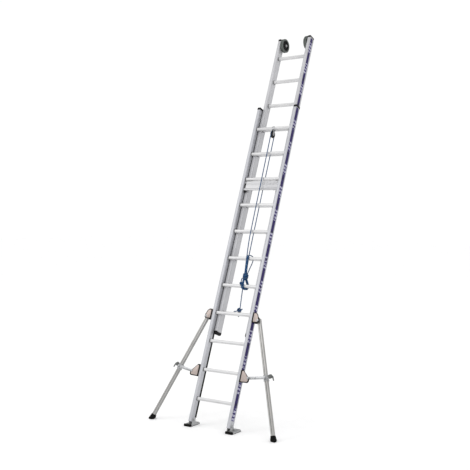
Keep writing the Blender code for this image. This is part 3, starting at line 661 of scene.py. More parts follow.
def tie_wraps():
    """Turns of the rope's end round the hank, then its tail, which hangs down in front."""
    points = [(0.0580, -0.0020, KNOT_S - 0.0080), (0.0608, 0.0030, KNOT_S + 0.0060)]
    for i in range(0, 35):
        a = math.pi / 2 + math.pi / 4 * i
        x, n = 0.0435 + 0.0225 * math.cos(a), -0.0095 + 0.0252 * math.sin(a)
        points.append((x, n, KNOT_S + 0.0150 - 0.0094 * i / 8))
    end = Vector(points[-1])
    tail = mm((-1, -11, -5), (-1, -19, -16), (0, -22, -34), (1, -21, -50))
    return points + [tuple(end + Vector(p)) for p in tail]


def ring_stack(centre, size, steps, corner, follow=0.0):
    """Rounded rectangles for a loft, one for each (height, growth); the corner follows the growth."""
    rings = []
    for z, grow in steps:
        ring = grooved(centre, (size[0] + 2 * grow, size[1] + 2 * grow), corner + follow * grow)
        rings.append([(u, v, z) for u, v in ring])
    return rings


def knot(path, whip):
    """A knotted length of rope with a whipped end."""
    shape = Shape().add(sweep(smooth_path(path, ROPE_STEP), ROPE_RADIUS, 14, braided=True), ROPE)
    return shape.add(sweep(whip, ROPE_RADIUS + 0.0006, 14), PLASTIC)


def stopper_knot(place, down):
    """An overhand knot in the rope's end, and the whipped tip that comes out of it."""
    path = []
    for i in range(25):
        a = 2 * math.pi * i / 12
        swell = 0.0078 + 0.0030 * math.cos(1.5 * a)
        path.append(place + Vector((swell * math.cos(a), swell * math.sin(a), 0.0066 * math.sin(1.5 * a))))
    path += [place + Vector((0.001, 0, 0.004 * down)), place + Vector((0, 0, 0.022 * down))]
    return knot(path, [place + Vector((0.0001, 0, 0.018 * down)), place + Vector((0, 0, 0.0245 * down))])


def rope_piece(name, path, body, slot="blue_rope", replaced=()):
    shape = Shape().add(sweep(path, ROPE_RADIUS, 14, braided=True), ROPE)
    return shape.piece(name, body, slot, replaced, sharp=180)


def add_ropes():
    fly_path = smooth_path(FLY_LINE, ROPE_STEP)
    fly_line = rope_piece("fly_line", fly_path, None, replaced=["rope_fly_line"])
    over = [(0.0, n, s) for n, s in arc((SHEAVE_N, SHEAVE_S), SHEAVE_ROPE_RADIUS, 0, 180, 12)]
    route = [*over, *HAND_LINE_FRONT]
    for k in range(HANK_TURNS):
        route += hank_turn(k)
    route += tie_wraps()
    hand_path = smooth_path(route, ROPE_STEP)
    hand_line = rope_piece("hand_line", hand_path, "base", replaced=["rope_hand_line", "rope_hank"])
    return fly_line, fly_path, hand_line, hand_path


# The two sections.


SECTIONS = {
    "base": (BASE_X, BASE_N, BASE_WIDTH, BASE_DEPTH, BASE_BOTTOM_S, BASE_TOP_S),
    "fly": (FLY_X, FLY_N, FLY_WIDTH, FLY_DEPTH, FLY_BOTTOM_S, FLY_TOP_S),
}
WEB_GROOVES = {
    "base": ((-0.0275, -0.0235, 0.0185, 0.0225), (0.0145, 0.0195, 0.0245)),
    "fly": ((-0.033, -0.0285, -0.024, 0.024, 0.0285, 0.033), (-0.033, -0.029, 0.024, 0.029, 0.034)),
}


def web_grooves(side, inner_offsets, outer_offsets):
    """The grooves of a stile: four on its front and back, and some on each web at offsets in n."""
    grooves = [(face, t, 0.0018, 0.0006) for face in (1, 3) for t in (-0.0105, -0.0075, 0.0075, 0.0105)]
    for offsets, face in ((inner_offsets, 1 + side), (outer_offsets, 1 - side)):
        grooves += [(face, t if face == 0 else -t, 0.0018, 0.0006) for t in offsets]
    return grooves


def add_stiles():
    for section, (x, n, width, depth, low, high) in SECTIONS.items():
        for label, side in SIDES.items():
            grooves = web_grooves(side, *WEB_GROOVES[section])
            outer = grooved((side * x, n), (width, depth), 0.003, grooves)
            hollow = (width - 2 * STILE_WALL, depth - 2 * STILE_WALL)
            inner = grooved((side * x, n), hollow, 0.001, grooves, scale=0)
            shape = Shape().add(tube(outer, inner, low, high), STILE if section == "base" else FLY_STILE_PAINTED_LIGHT)
            old = [f"{section}_stile_{label}"]
            shape.piece(f"{section}_profile_{label}", section, "stile_aluminium", old)


def add_glide_and_shade_strips():
    """A plastic strip along each base stile's inner web, which the fly runs against, widened forward by a
    thin black strip that paints the shade between the base and the fly.
    """
    inner = BASE_X - BASE_WIDTH / 2
    low_s, high_s = BASE_BOTTOM_S + 0.045, BASE_TOP_S - 0.013
    for label, side in SIDES.items():
        shape = Shape()
        # The first block is the glide lip; the second, wider one in front of it is painted shade.
        for proud, front in ((0.0034, 0.0262), (0.0020, 0.0125)):
            low, high = sorted((side * (inner - proud), side * (inner + 0.001)))
            shape.add(block((low, front, low_s), (high, 0.0324, high_s), 0.0008), PLASTIC)
        shape.piece(f"glide_and_shade_strip_{label}", "base", "black_plastic")


RUNG_GROOVES = [(1, t, 0.0015, 0.0007) for t in (-0.0075, -0.0045, -0.0015, 0.0015, 0.0045, 0.0075)]
RUNG_GROOVES += [(0, t, 0.0014, 0.0005) for t in (-0.0050, 0.0050)]
RUNG_GROOVES += [(2, -0.0045, 0.0014, 0.0005), (2, 0.0068, 0.0046, 0.0032)]
RUNG_ROWS = (
    ("base", BASE_RUNG_N, base_rung_s, BASE_X, BASE_WIDTH),
    ("fly", FLY_RUNG_N, fly_rung_s, FLY_X, FLY_WIDTH),
)
SWAGE_STEPS = mm((5.2, 30.8, 6.4), (4, 32.6, 7), (1.8, 37.2, 8.2), (0.6, 38, 8.4), (-1, 38, 8.4))
HIDDEN_PLUGS = (("base", 2), ("base", 4))


def add_rungs():
    """Hollow rungs with grooved treads; a bulge against each stile shows where the end is swaged over, its
    dark colour painted shade where the rung meets the stile.
    """
    for section, n, height, x, width in RUNG_ROWS:
        face = x - width / 2
        for k in range(1, RUNGS + 1):
            centre = (n, height(k))
            outer = grooved(centre, (RUNG_SIZE, RUNG_SIZE), RUNG_CORNER, RUNG_GROOVES)
            inner = grooved(centre, (RUNG_SIZE - 0.0090,) * 2, 0.001, RUNG_GROOVES, scale=0)
            shape = Shape().add(tube(outer, inner, -face - 0.001, face + 0.001, ACROSS), RUNG)
            for side in SIDES.values():
                rings = []
                for inset, size, corner in SWAGE_STEPS:
                    ring = grooved(centre, (size, size), corner)
                    rings.append([(side * (face - inset), u, v) for u, v in ring])
                # The swage is coloured in painted shade, not in the rung's own colour.
                shape.add(loft(rings), PAINTED_SHADE)
            shape.piece(f"{section}_step_{k:02d}", section, "rung_aluminium", [f"{section}_rung_{k:02d}"])


def add_rung_plugs():
    """Black plugs over the rungs' ends, on the outer webs; the brackets cover two of the base's."""
    profile = mm((0, 0.1), (5.8, 0.1), (6.6, 0.8), (9, 1.3), (11.2, 1.1), (12.2, 0.4))
    profile += mm((12.2, -1.5), (0, -1.5))
    for section, n, height, x, width in RUNG_ROWS:
        for label, side in SIDES.items():
            shape = Shape()
            for k in range(1, RUNGS + 1):
                if (section, k) not in HIDDEN_PLUGS:
                    shape.turned(profile, PLASTIC, (side * (x + width / 2), n, height(k)), (side, 0, 0))
            shape.piece(f"{section}_rung_plugs_{label}", section, "black_plastic")


LABEL_PERIOD = 0.2434
LABEL_HALF = 0.064


def add_labels():
    """A printed strip on each outer web: solid stretches between ones with small marks."""
    for section, face, low_n, high_n, bottom, top, first in (
        ("base", BASE_X + BASE_WIDTH / 2, -0.0300, 0.0160, 0.095, 3.278, 3.2125),
        ("fly", FLY_X + FLY_WIDTH / 2, 0.0240, 0.0670, 0.935, 4.112, 4.1265),
    ):
        for label, side in SIDES.items():
            shape = Shape()
            ends = sorted((side * (face - 0.0002), side * (face + 0.0003)))
            edge, solid = first + LABEL_HALF, True
            while edge > bottom + 0.02:
                length = 2 * LABEL_HALF if solid else LABEL_PERIOD - 2 * LABEL_HALF
                lower, upper = max(edge - length, bottom), min(edge, top)
                centre = ((low_n + high_n) / 2, (lower + upper) / 2)
                outline = grooved(centre, (high_n - low_n, upper - lower), 0.001, steps=2)
                shape.add(prism(outline, *ends, ACROSS), INDIGO if solid else PALE_LABEL)
                edge -= length
                solid = not solid
            shape.piece(f"{section}_label_{label}", section, "stile_aluminium")


def add_cap(name, x, n, size, s, direction, skirt, body, replaced):
    """A moulded cover with a skirt round the stile's end, a shadow line and a domed top."""
    steps = [(-skirt, -0.0002), (-skirt, 0.0010)]
    steps += mm((3, 1.4), (3.4, -0.6), (4.4, -0.6), (4.8, 0), (8, -0.4), (10.8, -1.8), (12.7, -4.2))
    steps += mm((13.8, -8), (14, -12))
    rings = ring_stack((x, n), size, [(s + direction * rise, grow) for rise, grow in steps], 0.0040, 0.2)
    shape = Shape().add(loft(rings), PLASTIC)
    reach = size[0] / 2 + 0.0002
    for t in (-0.3, 0.0, 0.3):
        rib = block((-reach, -0.0014, -0.0030), (reach, 0.0014, 0.0030), 0.0006)
        shape.add(rib, PLASTIC, shift(x, n + t * size[1], s + direction * 0.0080))
    shape.piece(name, body, "black_plastic", replaced)


def add_caps():
    for label, side in SIDES.items():
        size = (BASE_WIDTH + 0.002, BASE_DEPTH + 0.002)
        name, old = f"base_cap_{label}", f"base_top_cap_{label}"
        add_cap(name, side * BASE_X, BASE_N, size, BASE_TOP_S, 1, 0.012, "base", [old])
        size = (FLY_WIDTH - 0.0022, FLY_DEPTH + 0.001)
        for end, s, direction, skirt in (("top", FLY_TOP_S, 1, 0.012), ("foot", FLY_BOTTOM_S, -1, 0.022)):
            name, old = f"fly_{end}_cover_{label}", f"fly_{end}_cap_{label}"
            add_cap(name, side * FLY_X, FLY_N, size, s, direction, skirt, "fly", [old])


# The wall wheels.


def mirrored_profile(half):
    return half + [(r, -z) for r, z in reversed(half)]


def add_wheels():
    tread = mm(
        (64, 0), (64, 15), (69, 15.8), (71.5, 14), (72.4, 11.2), (72.5, 9.2), (69.8, 8.6), (69.8, 6.2),
        (72.5, 5.6), (72.5, 1.8), (70, 1.2), (70, 0),
    )
    carcass = mm((56.5, 12.8), (58, 15.8), (60, 16.9), (66, 16.6), (69.4, 15))
    disc = mm((9, 10.8), (17.5, 10.8), (19, 6.8), (45.5, 4.2), (47.5, 10.8), (51, 13.2), (57.5, 12.6))
    hub = mm((6.6, 16.8), (10, 16.8), (11.2, 15.5), (11.2, 10))
    for label, side in SIDES.items():
        at = aimed((side * WHEEL_X, WHEEL_N, WHEEL_S), (-side, 0, 0))
        shape = Shape()
        for profile, mat in ((tread, TYRE), (carcass, TYRE), (disc, PLASTIC), (hub, ZINC)):
            shape.add(lathe(mirrored_profile(profile), 64), mat, at)
        for k in range(8):
            rib = block((0.0180, -0.0016, -0.0088), (0.0465, 0.0016, 0.0088), 0.0006)
            shape.add(rib, PLASTIC, at @ Matrix.Rotation(math.pi * k / 4, 4, "Z"))
        for k in range(36):
            turned = at @ Matrix.Rotation(2 * math.pi * k / 36, 4, "Z")
            for z in (0.0, -0.0242):
                lug = block((0.0690, -0.0010, 0.0092), (0.0724, 0.0010, 0.0150), 0.0004, 1)
                shape.add(lug, TYRE, turned @ shift(z=z))
        shape.piece(f"roller_{label}", f"wheel_{label}", "wheel_rubber", [f"wall_wheel_{label}"])
        add_wheel_axle(label, side)


# The swivel shoes, which stand level.


def add_wheel_axle(label, side):
    """The bolt through the wheel and the fly's stile, with a nut outside and a sleeve between."""
    inner, web, face = WHEEL_X - WHEEL_WIDTH / 2, FLY_X - FLY_WIDTH / 2, FLY_X + FLY_WIDTH / 2
    centre, out = (0, WHEEL_N, WHEEL_S), (side, 0, 0)
    shape = Shape()
    shape.bolt((side * (inner - 0.0004), WHEEL_N, WHEEL_S), (-side, 0, 0), 0.019, 0.0078, 0.0016)
    shape.bolt((side * face, WHEEL_N, WHEEL_S), out, 0.017, 0.0052)
    shape.rod(ZINC, centre, out, 0.006, inner - 0.001, face + 0.004, steps=24)
    shape.rod(ZINC, centre, out, 0.0095, WHEEL_X + WHEEL_WIDTH / 2 + 0.0006, web, 0.0062, 28)
    shape.piece(f"roller_axle_{label}", "fly", "bright_zinc", [f"wheel_axle_{label}"])


def add_shoes():
    for label, side in SIDES.items():
        centre = LADDER @ Vector((side * BASE_X, 0, SHOE_PIVOT_S))
        front, rear = SHOE_FRONT + ORIGIN_Y - centre.y, SHOE_REAR + ORIGIN_Y - centre.y
        ends = sorted((side * (SHOE_INNER_X - BASE_X), side * (SHOE_INNER_X + SHOE_WIDTH - BASE_X)))
        add_tread_pad(label, Matrix.Translation(centre), front, rear, ends, -centre.z)
        add_casting(label, side, Matrix.Translation(centre), front, rear, ends, -centre.z)


def add_tread_pad(label, at, front, rear, ends, floor):
    """A ribbed rubber sole with a raised toe."""
    top = floor + TREAD_THICKNESS
    outline, y = [(front + 0.0015, floor + 0.001)], front + 0.0030
    while y < rear - 0.012:
        outline += mm((0, 0), (7.5, 0), (8.3, 3.2), (11.2, 3.2), at=(y, floor))
        y += 0.0120
    outline += [(y, floor), *mm((-2, 0), (0, 2), at=(rear, floor)), *mm((0, -1), (-1, 0), at=(rear, top))]
    outline += mm((2, 0), (0, -2), at=(front, top))
    pad = Shape().add(prism(outline, *ends, ACROSS, 0.0006, 1), RUBBER)
    toe = mm((0, -1), (24, -1), (20, 9.5), (8, 12), (0.6, 6), at=(front, top))
    pad.add(prism(rounded_polygon(toe, 0.003), *ends, ACROSS, 0.0015), RUBBER)
    pad.piece(f"shoe_tread_{label}", f"shoe_{label}", "black_rubber", [f"tread_pad_{label}"], at)


def add_casting(label, side, at, front, rear, ends, floor):
    """A rimmed plate with a skirt and ribs, and two ears on the pivot bolt."""
    low = floor + TREAD_THICKNESS + 0.0003
    high = low + SHOE_PLATE
    centre = (sum(ends) / 2, (front + rear) / 2 + 0.009)
    size = Vector((SHOE_WIDTH - 0.001, rear - front - 0.026))
    plate = grooved(centre, size, 0.009)
    well = grooved(centre, size - Vector((0.010, 0.010)), 0.005)
    outer = grooved(centre, size + Vector((0.0026, 0.006)), 0.010)
    hollow = grooved(centre, size + Vector((0.0012, 0.0030)), 0.009)
    shape = Shape().add(prism(plate, low, high - 0.002, UP, 0.001), CAST)
    shape.add(tube(plate, well, low + 0.001, high + 0.0015), CAST)
    shape.add(tube(outer, hollow, floor + 0.0045, high - 0.0010), CAST)
    for y in (centre[1] - 0.030, centre[1], centre[1] + 0.030):
        rib = block((ends[0] + 0.004, y - 0.0015, low), (ends[1] - 0.004, y + 0.0015, high + 0.001), 0.0006)
        shape.add(rib, CAST)
    half, out = BASE_WIDTH / 2, (side, 0, 0)
    ear = rounded_polygon([(-0.030, low), (0.044, low), (0.013, 0.016), (-0.013, 0.016)], 0.009, 6)
    for inner in (-half - 0.0044, half + 0.0004):
        shape.add(prism(ear, *sorted((side * inner, side * (inner + 0.0040))), ACROSS, 0.0008), CAST)
    boss = mm((0, 0), (12.5, 0), (12.5, 1), (11.5, 1.8), (0, 1.8))
    shape.turned(boss, CAST, (side * (half + 0.0044), 0, 0), out, 32)
    for t in (-0.020, 0.024):
        gusset = [(side * u, v) for u, v in mm((4, -1), (20, -1), (4, 21), at=(half, high))]
        shape.add(prism(gusset, -t - 0.0016, -t + 0.0016, FLAT, 0.0005, 1), CAST)
    for x, direction in ((side * (half + 0.0060), side), (-side * (half + 0.0044), -side)):
        shape.bolt((x, 0, 0), (direction, 0, 0), 0.017, 0.0058, 0.0012)
    shape.rod(ZINC, (0, 0, 0), out, 0.0058, -half - 0.009, half + 0.009)
    shape.piece(f"shoe_casting_{label}", f"shoe_{label}", "cast_metal", [f"swivel_shoe_{label}"], at)


# The stabilisers.

PLATE_FACE = BASE_DEPTH / 2 + 0.0004
PLATE = 0.003
UPPER_FRONT = mm(
    (237.5, 1030), (298, 1030), (314, 1045), (313, 1066), (292, 1112), (272, 1128), (237.5, 1128)
)
UPPER_BACK = mm((238, 1031), (299, 1031), (314.5, 1045), (313.5, 1064), (270, 1100), (238, 1100))
LOWER_PLATE = mm((237.5, 465), (326, 468), (337, 482), (338, 506), (262, 580), (237.5, 580))


def inset_outline(side, corners, outer, inner):
    """The outline drawn in by an amount, and by another on the side next to the stile."""
    low_x, high_x = min(x for x, _ in corners), max(x for x, _ in corners)
    low_s, high_s = min(s for _, s in corners), max(s for _, s in corners)
    points = []
    for x, s in corners:
        u = low_x + inner + (x - low_x) * (high_x - low_x - inner - outer) / (high_x - low_x)
        v = low_s + outer + (s - low_s) * (high_s - low_s - 2 * outer) / (high_s - low_s)
        points.append((side * u, v))
    return rounded_polygon(points, 0.006, 6)


def bracket_shape(side, front, back, back_n, tall):
    """A plated front with a rubber border, a back plate faced with rubber, and a web on the stile."""
    shape = Shape()
    near, far, rear = PLATE_FACE + 0.0014, PLATE_FACE + PLATE + 0.0006, -back_n
    for outline, drawn_in, inner, low, high, bevel, segments, mat in (
        (front, 0, 0, PLATE_FACE, near, 0.0004, 1, RUBBER),
        (front, 0.0090, 0.0125, near, far, 0.0007, 2, PINK_ZINC),
        (front, 0.0180, 0.0200, far - 0.0004, far + 0.0009, 0.0008, 2, PINK_ZINC),
        (back, 0.001, 0, rear - PLATE, rear - 0.0010, 0.0004, 1, PINK_ZINC),
        (back, 0, 0, rear - 0.0010, rear, 0.0003, 1, RUBBER),
    ):
        layer = inset_outline(side, outline, drawn_in, inner)
        shape.add(prism(layer, low, high, FLAT, bevel, segments), mat)
    bottom, top = min(s for _, s in front), max(s for _, s in front)
    wall = BASE_X + BASE_WIDTH / 2 + 0.0003
    low, high = sorted((side * wall, side * (wall + 0.003)))
    web = block((low, -PLATE_FACE - 0.001, bottom + 0.007), (high, 0.0185, top - 0.007), 0.0008)
    shape.add(web, PINK_ZINC)
    for s in (bottom + 0.022, top - 0.022) if tall else (top - 0.024,):
        shape.bolt((side * (wall + 0.003), 0.0, s), (side, 0, 0), 0.013, 0.0042, 0.0010)
    rim = inset_outline(side, front, -0.0008, -0.0008)
    hollow = inset_outline(side, front, 0.0075, 0.0110)
    return shape.add(tube(rim, hollow, PLATE_FACE, far + 0.0006, FLAT), RUBBER)


def add_brackets():
    """The pivot bolts of the leg and the tie bar pass through the brackets' plates."""
    out = PLATE_FACE + PLATE + 0.0006
    half = LEG_DEPTH / 2 + 0.0006
    lower_back = -BASE_DEPTH / 2 + TIE_THICKNESS + 0.0003
    for label, side in SIDES.items():
        for kind, pivot, front, back, back_n, head, nut in (
            ("upper", LEG_TOP, UPPER_FRONT, UPPER_BACK, half + 0.001, 0.019, (0.019, 0.0050, 0.0014)),
            ("lower", TIE_PIVOT, LOWER_PLATE, LOWER_PLATE, lower_back, 0.018, (0.012, 0.0030, 0.0008)),
        ):
            x, s = side * pivot.x, pivot.z
            shape = bracket_shape(side, front, back, back_n, kind == "upper")
            shape.bolt((x, -out, s), (0, -1, 0), head, 0.0055, 0.0014)
            shape.bolt((x, back_n + PLATE, s), (0, 1, 0), *nut)
            shape.rod(ZINC, (x, 0, s), (0, 1, 0), 0.0057, -out, back_n + PLATE)
            spacers = ((-PLATE_FACE - 0.001, -half), (half, back_n + 0.001)) if kind == "upper" else ()
            for low, high in spacers:
                shape.rod(PLASTIC, (x, 0, s), (0, 1, 0), 0.0100, low, high, 0.0060, 28)
            shape.piece(f"{kind}_clamp_{label}", "base", "bracket_zinc", [f"{kind}_bracket_{label}"])


def leg_frame(side):
    return LADDER @ shift(side * LEG_TOP.x, 0, LEG_TOP.z) @ Matrix.Rotation(-side * LEG_ANGLE, 4, "Y")


def add_legs():
    """A square tube with a grey insert in each face's groove and a black plug in its top."""
    grooves = [(face, 0.0, 0.0064, 0.0032) for face in range(4)]
    grooves += [(face, t, 0.0012, 0.0004) for face in range(4) for t in (-0.0085, 0.0085)]
    size = (LEG_WIDTH, LEG_DEPTH)
    for label, side in SIDES.items():
        at = leg_frame(side)
        outer = grooved((0, 0), size, 0.003, grooves)
        inner = grooved((0, 0), (LEG_WIDTH - 0.009, LEG_DEPTH - 0.009), 0.0015, grooves, scale=0)
        shape = Shape().add(tube(outer, inner, -LEG_FOOT_START - 0.010, 0.020), LEG)
        for turn in range(4):
            reach = size[turn % 2] / 2
            ends = (reach - 0.0034, -0.0031, -LEG_FOOT_START), (reach - 0.0010, 0.0031, 0.0195)
            strip = block(*ends, 0.0004)
            shape.add(strip, GREY_PLASTIC, Matrix.Rotation(turn * math.pi / 2, 4, "Z"))
        plug = mm((14, -2.4), (19.6, -2.4), (19.8, -0.4), (21, -0.8), (21.6, -3.5))
        shape.add(loft(ring_stack((0, 0), size, plug, 0.002)), PLASTIC)
        shape.piece(f"leg_tube_{label}", f"leg_{label}", "leg_aluminium", [f"stabiliser_leg_{label}"], at)
        add_leg_foot(label, at)


# The boot's rings, each (share of the way down, growth in mm).
BOOT_STEPS = [(0.16, 0.4), (0.16, 2.8), (0.18, 3.6), (0.28, 4.0), (0.30, 2.6), (0.33, 2.6), (0.35, 4.8)]
BOOT_STEPS += [(0.48, 6.2), (0.50, 5.0), (0.53, 5.0), (0.55, 7.0), (0.70, 8.6), (0.72, 7.2), (0.75, 7.2)]
BOOT_STEPS += [(0.77, 8.8), (0.86, 8.4), (0.93, 6.0), (0.98, 0.5), (1.0, -4.5)]


def add_leg_foot(label, at):
    """A tapered rubber boot with rings round it and a sole that lies level on the floor."""
    rings = []
    for share, growth in BOOT_STEPS:
        grow = growth / 1000
        ring = []
        for u, v in grooved((0, 0), (LEG_WIDTH + 2 * grow, LEG_DEPTH + 2 * grow), 0.005 + 0.5 * grow):
            height = (at @ Vector((u, v, 0))).z
            sole = -(height - 0.0004) / at.col[2].z
            ring.append((u, v, -LEG_FOOT_START * (1 - share) + sole * share))
        rings.append(ring)
    shape = Shape().add(loft(rings), RUBBER)
    shape.piece(f"leg_boot_{label}", f"leg_{label}", "black_rubber", [f"leg_foot_{label}"], at)


def add_collars():
    """A cast sleeve with a stud for the tie bar, and a lobed knob and its lever on the outer side."""
    half, edge = COLLAR_HEIGHT / 2, LEG_WIDTH / 2 + 0.0045
    lower = [(-half, 0.0), (-half + 0.0008, 0.0008), (-half + 0.0070, 0.0008), (-half + 0.0080, -0.0006)]
    steps = lower + [(-z, grow) for z, grow in lower[::-1]]
    sleeve = ring_stack((0, 0), (LEG_WIDTH + 0.009, LEG_DEPTH + 0.008), steps, 0.005)
    sleeve += ring_stack((0, 0), (LEG_WIDTH + 0.001, LEG_DEPTH + 0.001), ((half, 0), (-half, 0)), 0.003)
    stud = mm((0, 0), (10.5, 0), (10.5, 4), (8.5, 5.5), (8.5, 10.8), (0, 10.8))
    boss = mm((0, 0), (13, 0), (12.5, 3.5), (10.5, 5), (10.5, 11), (0, 11))
    knob = mm((0, 0), (15, 0), (18.5, 3), (19.5, 9), (19.5, 23), (17.8, 29), (14, 32), (8, 32.8))
    knob += mm((7.4, 31.6), (0, 31.6))
    ball = [(0.0058 * math.sin(math.pi * i / 8), -0.0058 * math.cos(math.pi * i / 8)) for i in range(9)]
    for label, side in SIDES.items():
        shape = Shape().add(loft(sleeve, closed=True), CAST)
        shape.turned(stud, CAST, (0, -LEG_DEPTH / 2 - 0.002, 0), (0, -1, 0), 32)
        shape.turned(boss, CAST, (side * (edge - 0.0015), 0, 0.004), (side, 0, 0.1), 32)
        at = aimed((side * (edge + 0.0085), 0, 0.005), (side, 0, 0.1))
        shape.add(lathe(knob, 70, 7, 0.10), GREY_PLASTIC, at)
        arm = mm((34, 0, 7.5), (45, 0, 1), (49.5, 0, -16), (51, 0, -35), at=(edge, 0, 0))
        path = smooth_path([(side * x, y, z) for x, y, z in arm], 0.0015)
        shape.add(sweep(path, lambda t: 0.0088 - 0.0036 * t, 14), GREY_PLASTIC)
        shape.turned(ball, GREY_PLASTIC, (side * (edge + 0.0510), 0, -0.0355), steps=20)
        shape.bolt((0, LEG_DEPTH / 2 + 0.0034, 0.012), (0, 1, 0), 0.010, 0.0035, 0.0008)
        at = leg_frame(side) @ shift(z=-COLLAR_REACH)
        shape.piece(f"leg_collar_{label}", f"collar_{label}", "cast_metal", [f"sliding_collar_{label}"], at)


def add_tie_bars():
    """A flat bar with a raised bead, from the lower bracket's pivot to the collar's stud."""
    leg = Vector((math.sin(LEG_ANGLE), 0, -math.cos(LEG_ANGLE)))
    reach = LEG_TOP + leg * COLLAR_REACH - TIE_PIVOT
    rise = math.atan2(reach.z, reach.x)
    back = BASE_DEPTH / 2 - TIE_THICKNESS
    front = back + TIE_THICKNESS
    for label, side in SIDES.items():
        at = LADDER @ shift(side * TIE_PIVOT.x, 0, TIE_PIVOT.z) @ Matrix.Rotation(-side * rise, 4, "Y")
        end = side * reach.length
        bar = capsule((0, 0), (end, 0), TIE_HALF_WIDTH)
        bead = capsule((side * 0.064, 0), (end - side * 0.026, 0), 0.0045)
        shape = Shape().add(prism(bar, back, front, FLAT, 0.0006), ZINC)
        shape.add(prism(bead, front - 0.0005, front + 0.0009, FLAT, 0.0006), ZINC)
        shape.bolt((end, -front, 0), (0, -1, 0), 0.017, 0.0060, 0.0014)
        shape.piece(f"tie_strap_{label}", f"tie_{label}", "bright_zinc", [f"tie_bar_{label}"], at)


# The pulley, the eye bolt with its knot, and the latch.


def add_pulley():
    """A strap round the base's top rung, with two cheeks that hold the sheave's pin."""
    rung, axis = (BASE_RUNG_N, base_rung_s(RUNGS)), (0, SHEAVE_N, SHEAVE_S)
    side = RUNG_SIZE + 0.0008
    seat, band, bead = (
        grooved(rung, (side + grow, side + grow), RUNG_CORNER + corner, steps=6)
        for grow, corner in ((0, 0), (0.005, 0.0025), (0.0066, 0.003))
    )
    shape = Shape().add(tube(band, seat, -0.013, 0.013, ACROSS), ZINC)
    shape.add(tube(bead, band, -0.0040, 0.0040, ACROSS), ZINC)
    top = rung[1] - side / 2 - 0.001
    cheek = [(SHEAVE_N - 0.013, top), *arc(axis[1:], 0.013, 180, 360, 16), (SHEAVE_N + 0.013, top)]
    for x in (-0.0098, 0.0073):
        shape.add(prism(cheek, x, x + 0.0025, ACROSS, 0.0005), ZINC)
    head = mm((0, 0), (7, 0), (6.8, 1.2), (5, 2.4), (0, 3))
    rivet = mm((0, 0), (3, 0), (2.6, 1.1), (0, 1.6))
    for out in (-1, 1):
        shape.turned(head, ZINC, (out * 0.0097, SHEAVE_N, SHEAVE_S), (out, 0, 0))
        for n in (-0.00675, 0.00675):
            shape.turned(rivet, ZINC, (out * 0.0097, SHEAVE_N + n, SHEAVE_S + 0.037), (out, 0, 0), 16)
    shape.rod(ZINC, axis, (1, 0, 0), 0.0038, -0.010, 0.010)
    shape.piece("pulley_strap", "base", "bright_zinc", ["pulley_bracket"])

    half = mm((4.3, 6.6), (9.5, 6.6), (10.5, 5), (22.5, 4.2), (24, 6.2), (34.5, 6.6), (36.8, 6), (37.4, 5))
    groove_radius = 0.005
    floor = SHEAVE_ROPE_RADIUS - ROPE_RADIUS - 0.0006 + groove_radius
    half += arc((floor, 0.0), groove_radius, 100, 160, 3)
    at = aimed(axis, (1, 0, 0))
    shape = Shape().add(lathe(mirrored_profile(half), 56), PLASTIC, at)
    for k in range(5):
        rib = block((0.0095, -0.0012, -0.0058), (0.0235, 0.0012, 0.0058), 0.0005, 1)
        shape.add(rib, PLASTIC, at @ Matrix.Rotation(2 * math.pi * k / 5, 4, "Z"))
    shape.piece("sheave_wheel", "sheave", "black_plastic", ["pulley_wheel"])


def add_eye_bolt():
    """A ring on a threaded shank through the fly's lowest rung, with a collar above and a nut below."""
    below, above = fly_rung_s(1) - RUNG_SIZE / 2, fly_rung_s(1) + RUNG_SIZE / 2
    at = aimed((EYE_X, EYE_N, fly_rung_s(1) + EYE_RISE), (0, 1, 0))
    shape = Shape().add(lathe(arc((0.0115, 0.0), 0.0035, 0, 330, 11), 40), ZINC, at)
    thread = mm((0, 0), (3.4, 0))
    for i in range(8):
        thread += mm((4, 0.8 + i), (3.5, 1.3 + i))
    thread += mm((4, 10), (4, 60), (0, 60))
    collar = mm((4, 0), (8.5, 0), (8.8, 0.8), (8, 1.8), (5.5, 4), (4, 6))
    shape.turned(thread, ZINC, (EYE_X, EYE_N, below - 0.014), steps=20)
    shape.turned(collar, ZINC, (EYE_X, EYE_N, above + 0.0003), steps=28)
    shape.bolt((EYE_X, EYE_N, below - 0.0002), (0, 0, -1), 0.014, 0.0078, 0.0014)
    shape.piece("rope_eye", "fly", "bright_zinc", ["rope_eye_bolt"])


def add_knot():
    """The knot that ties the fly's line to the eye, with its free end lying to the left."""
    centre = Vector((EYE_X + 0.001, EYE_N - 0.004, fly_rung_s(1) + EYE_RISE + 0.002))
    path = [Vector(FLY_LINE[-1]) + Vector((-0.001, -0.002, 0.012))]
    for i in range(34):
        t = 2 * math.pi * (i / 17 + 0.28)
        swell = 0.0190 + 0.0058 * math.cos(1.5 * t)
        x, n = swell * math.cos(t), 0.72 * swell * math.sin(t)
        path.append(centre + Vector((x, n, 0.0150 * math.sin(1.5 * t + 0.6))))
    tail = mm((-12, -14, -10), (-30, -10, -14), (-46, -4, -16), (-60, 2, -15), at=centre)
    whip = mm((-56, 0.4, -15.4), (-64, 3.6, -14.6), at=centre)
    shape = knot(path + [Vector(p) for p in tail], [Vector(p) for p in whip])
    return shape.piece("eye_knot", "fly", "blue_rope")


def latch_outline(low, middle, high):
    """The folded panel's cross-section: a rolled lower edge, a middle rib and a hooked top, in (n, s)."""
    front, back = PLATE_N - 0.001, PLATE_N + 0.0006
    foot, hook = -0.0065, -0.0100
    return [
        (foot, low),
        *mm((-1, 0), (-4.2, 3), (-4.2, 14), (-3, 16.5), (0, 17), at=(front, low)),
        *mm((0, -12), (-1.4, -8), (-1.4, 8), (0, 12), at=(front, middle)),
        *mm((0, -2), (2, 0), at=(front, high)),
        (hook, high),
        (hook, high - 0.0016),
        *mm((0.6, -1.6), (0, -2.2), at=(back, high)),
        *mm((0, 12.5), (-1.4, 8.5), (-1.4, -8.5), (0, -12.5), at=(back, middle)),
        *mm((0, 2.2), (0.6, 1.6), at=(back, low)),
        (foot, low + 0.0016),
    ]


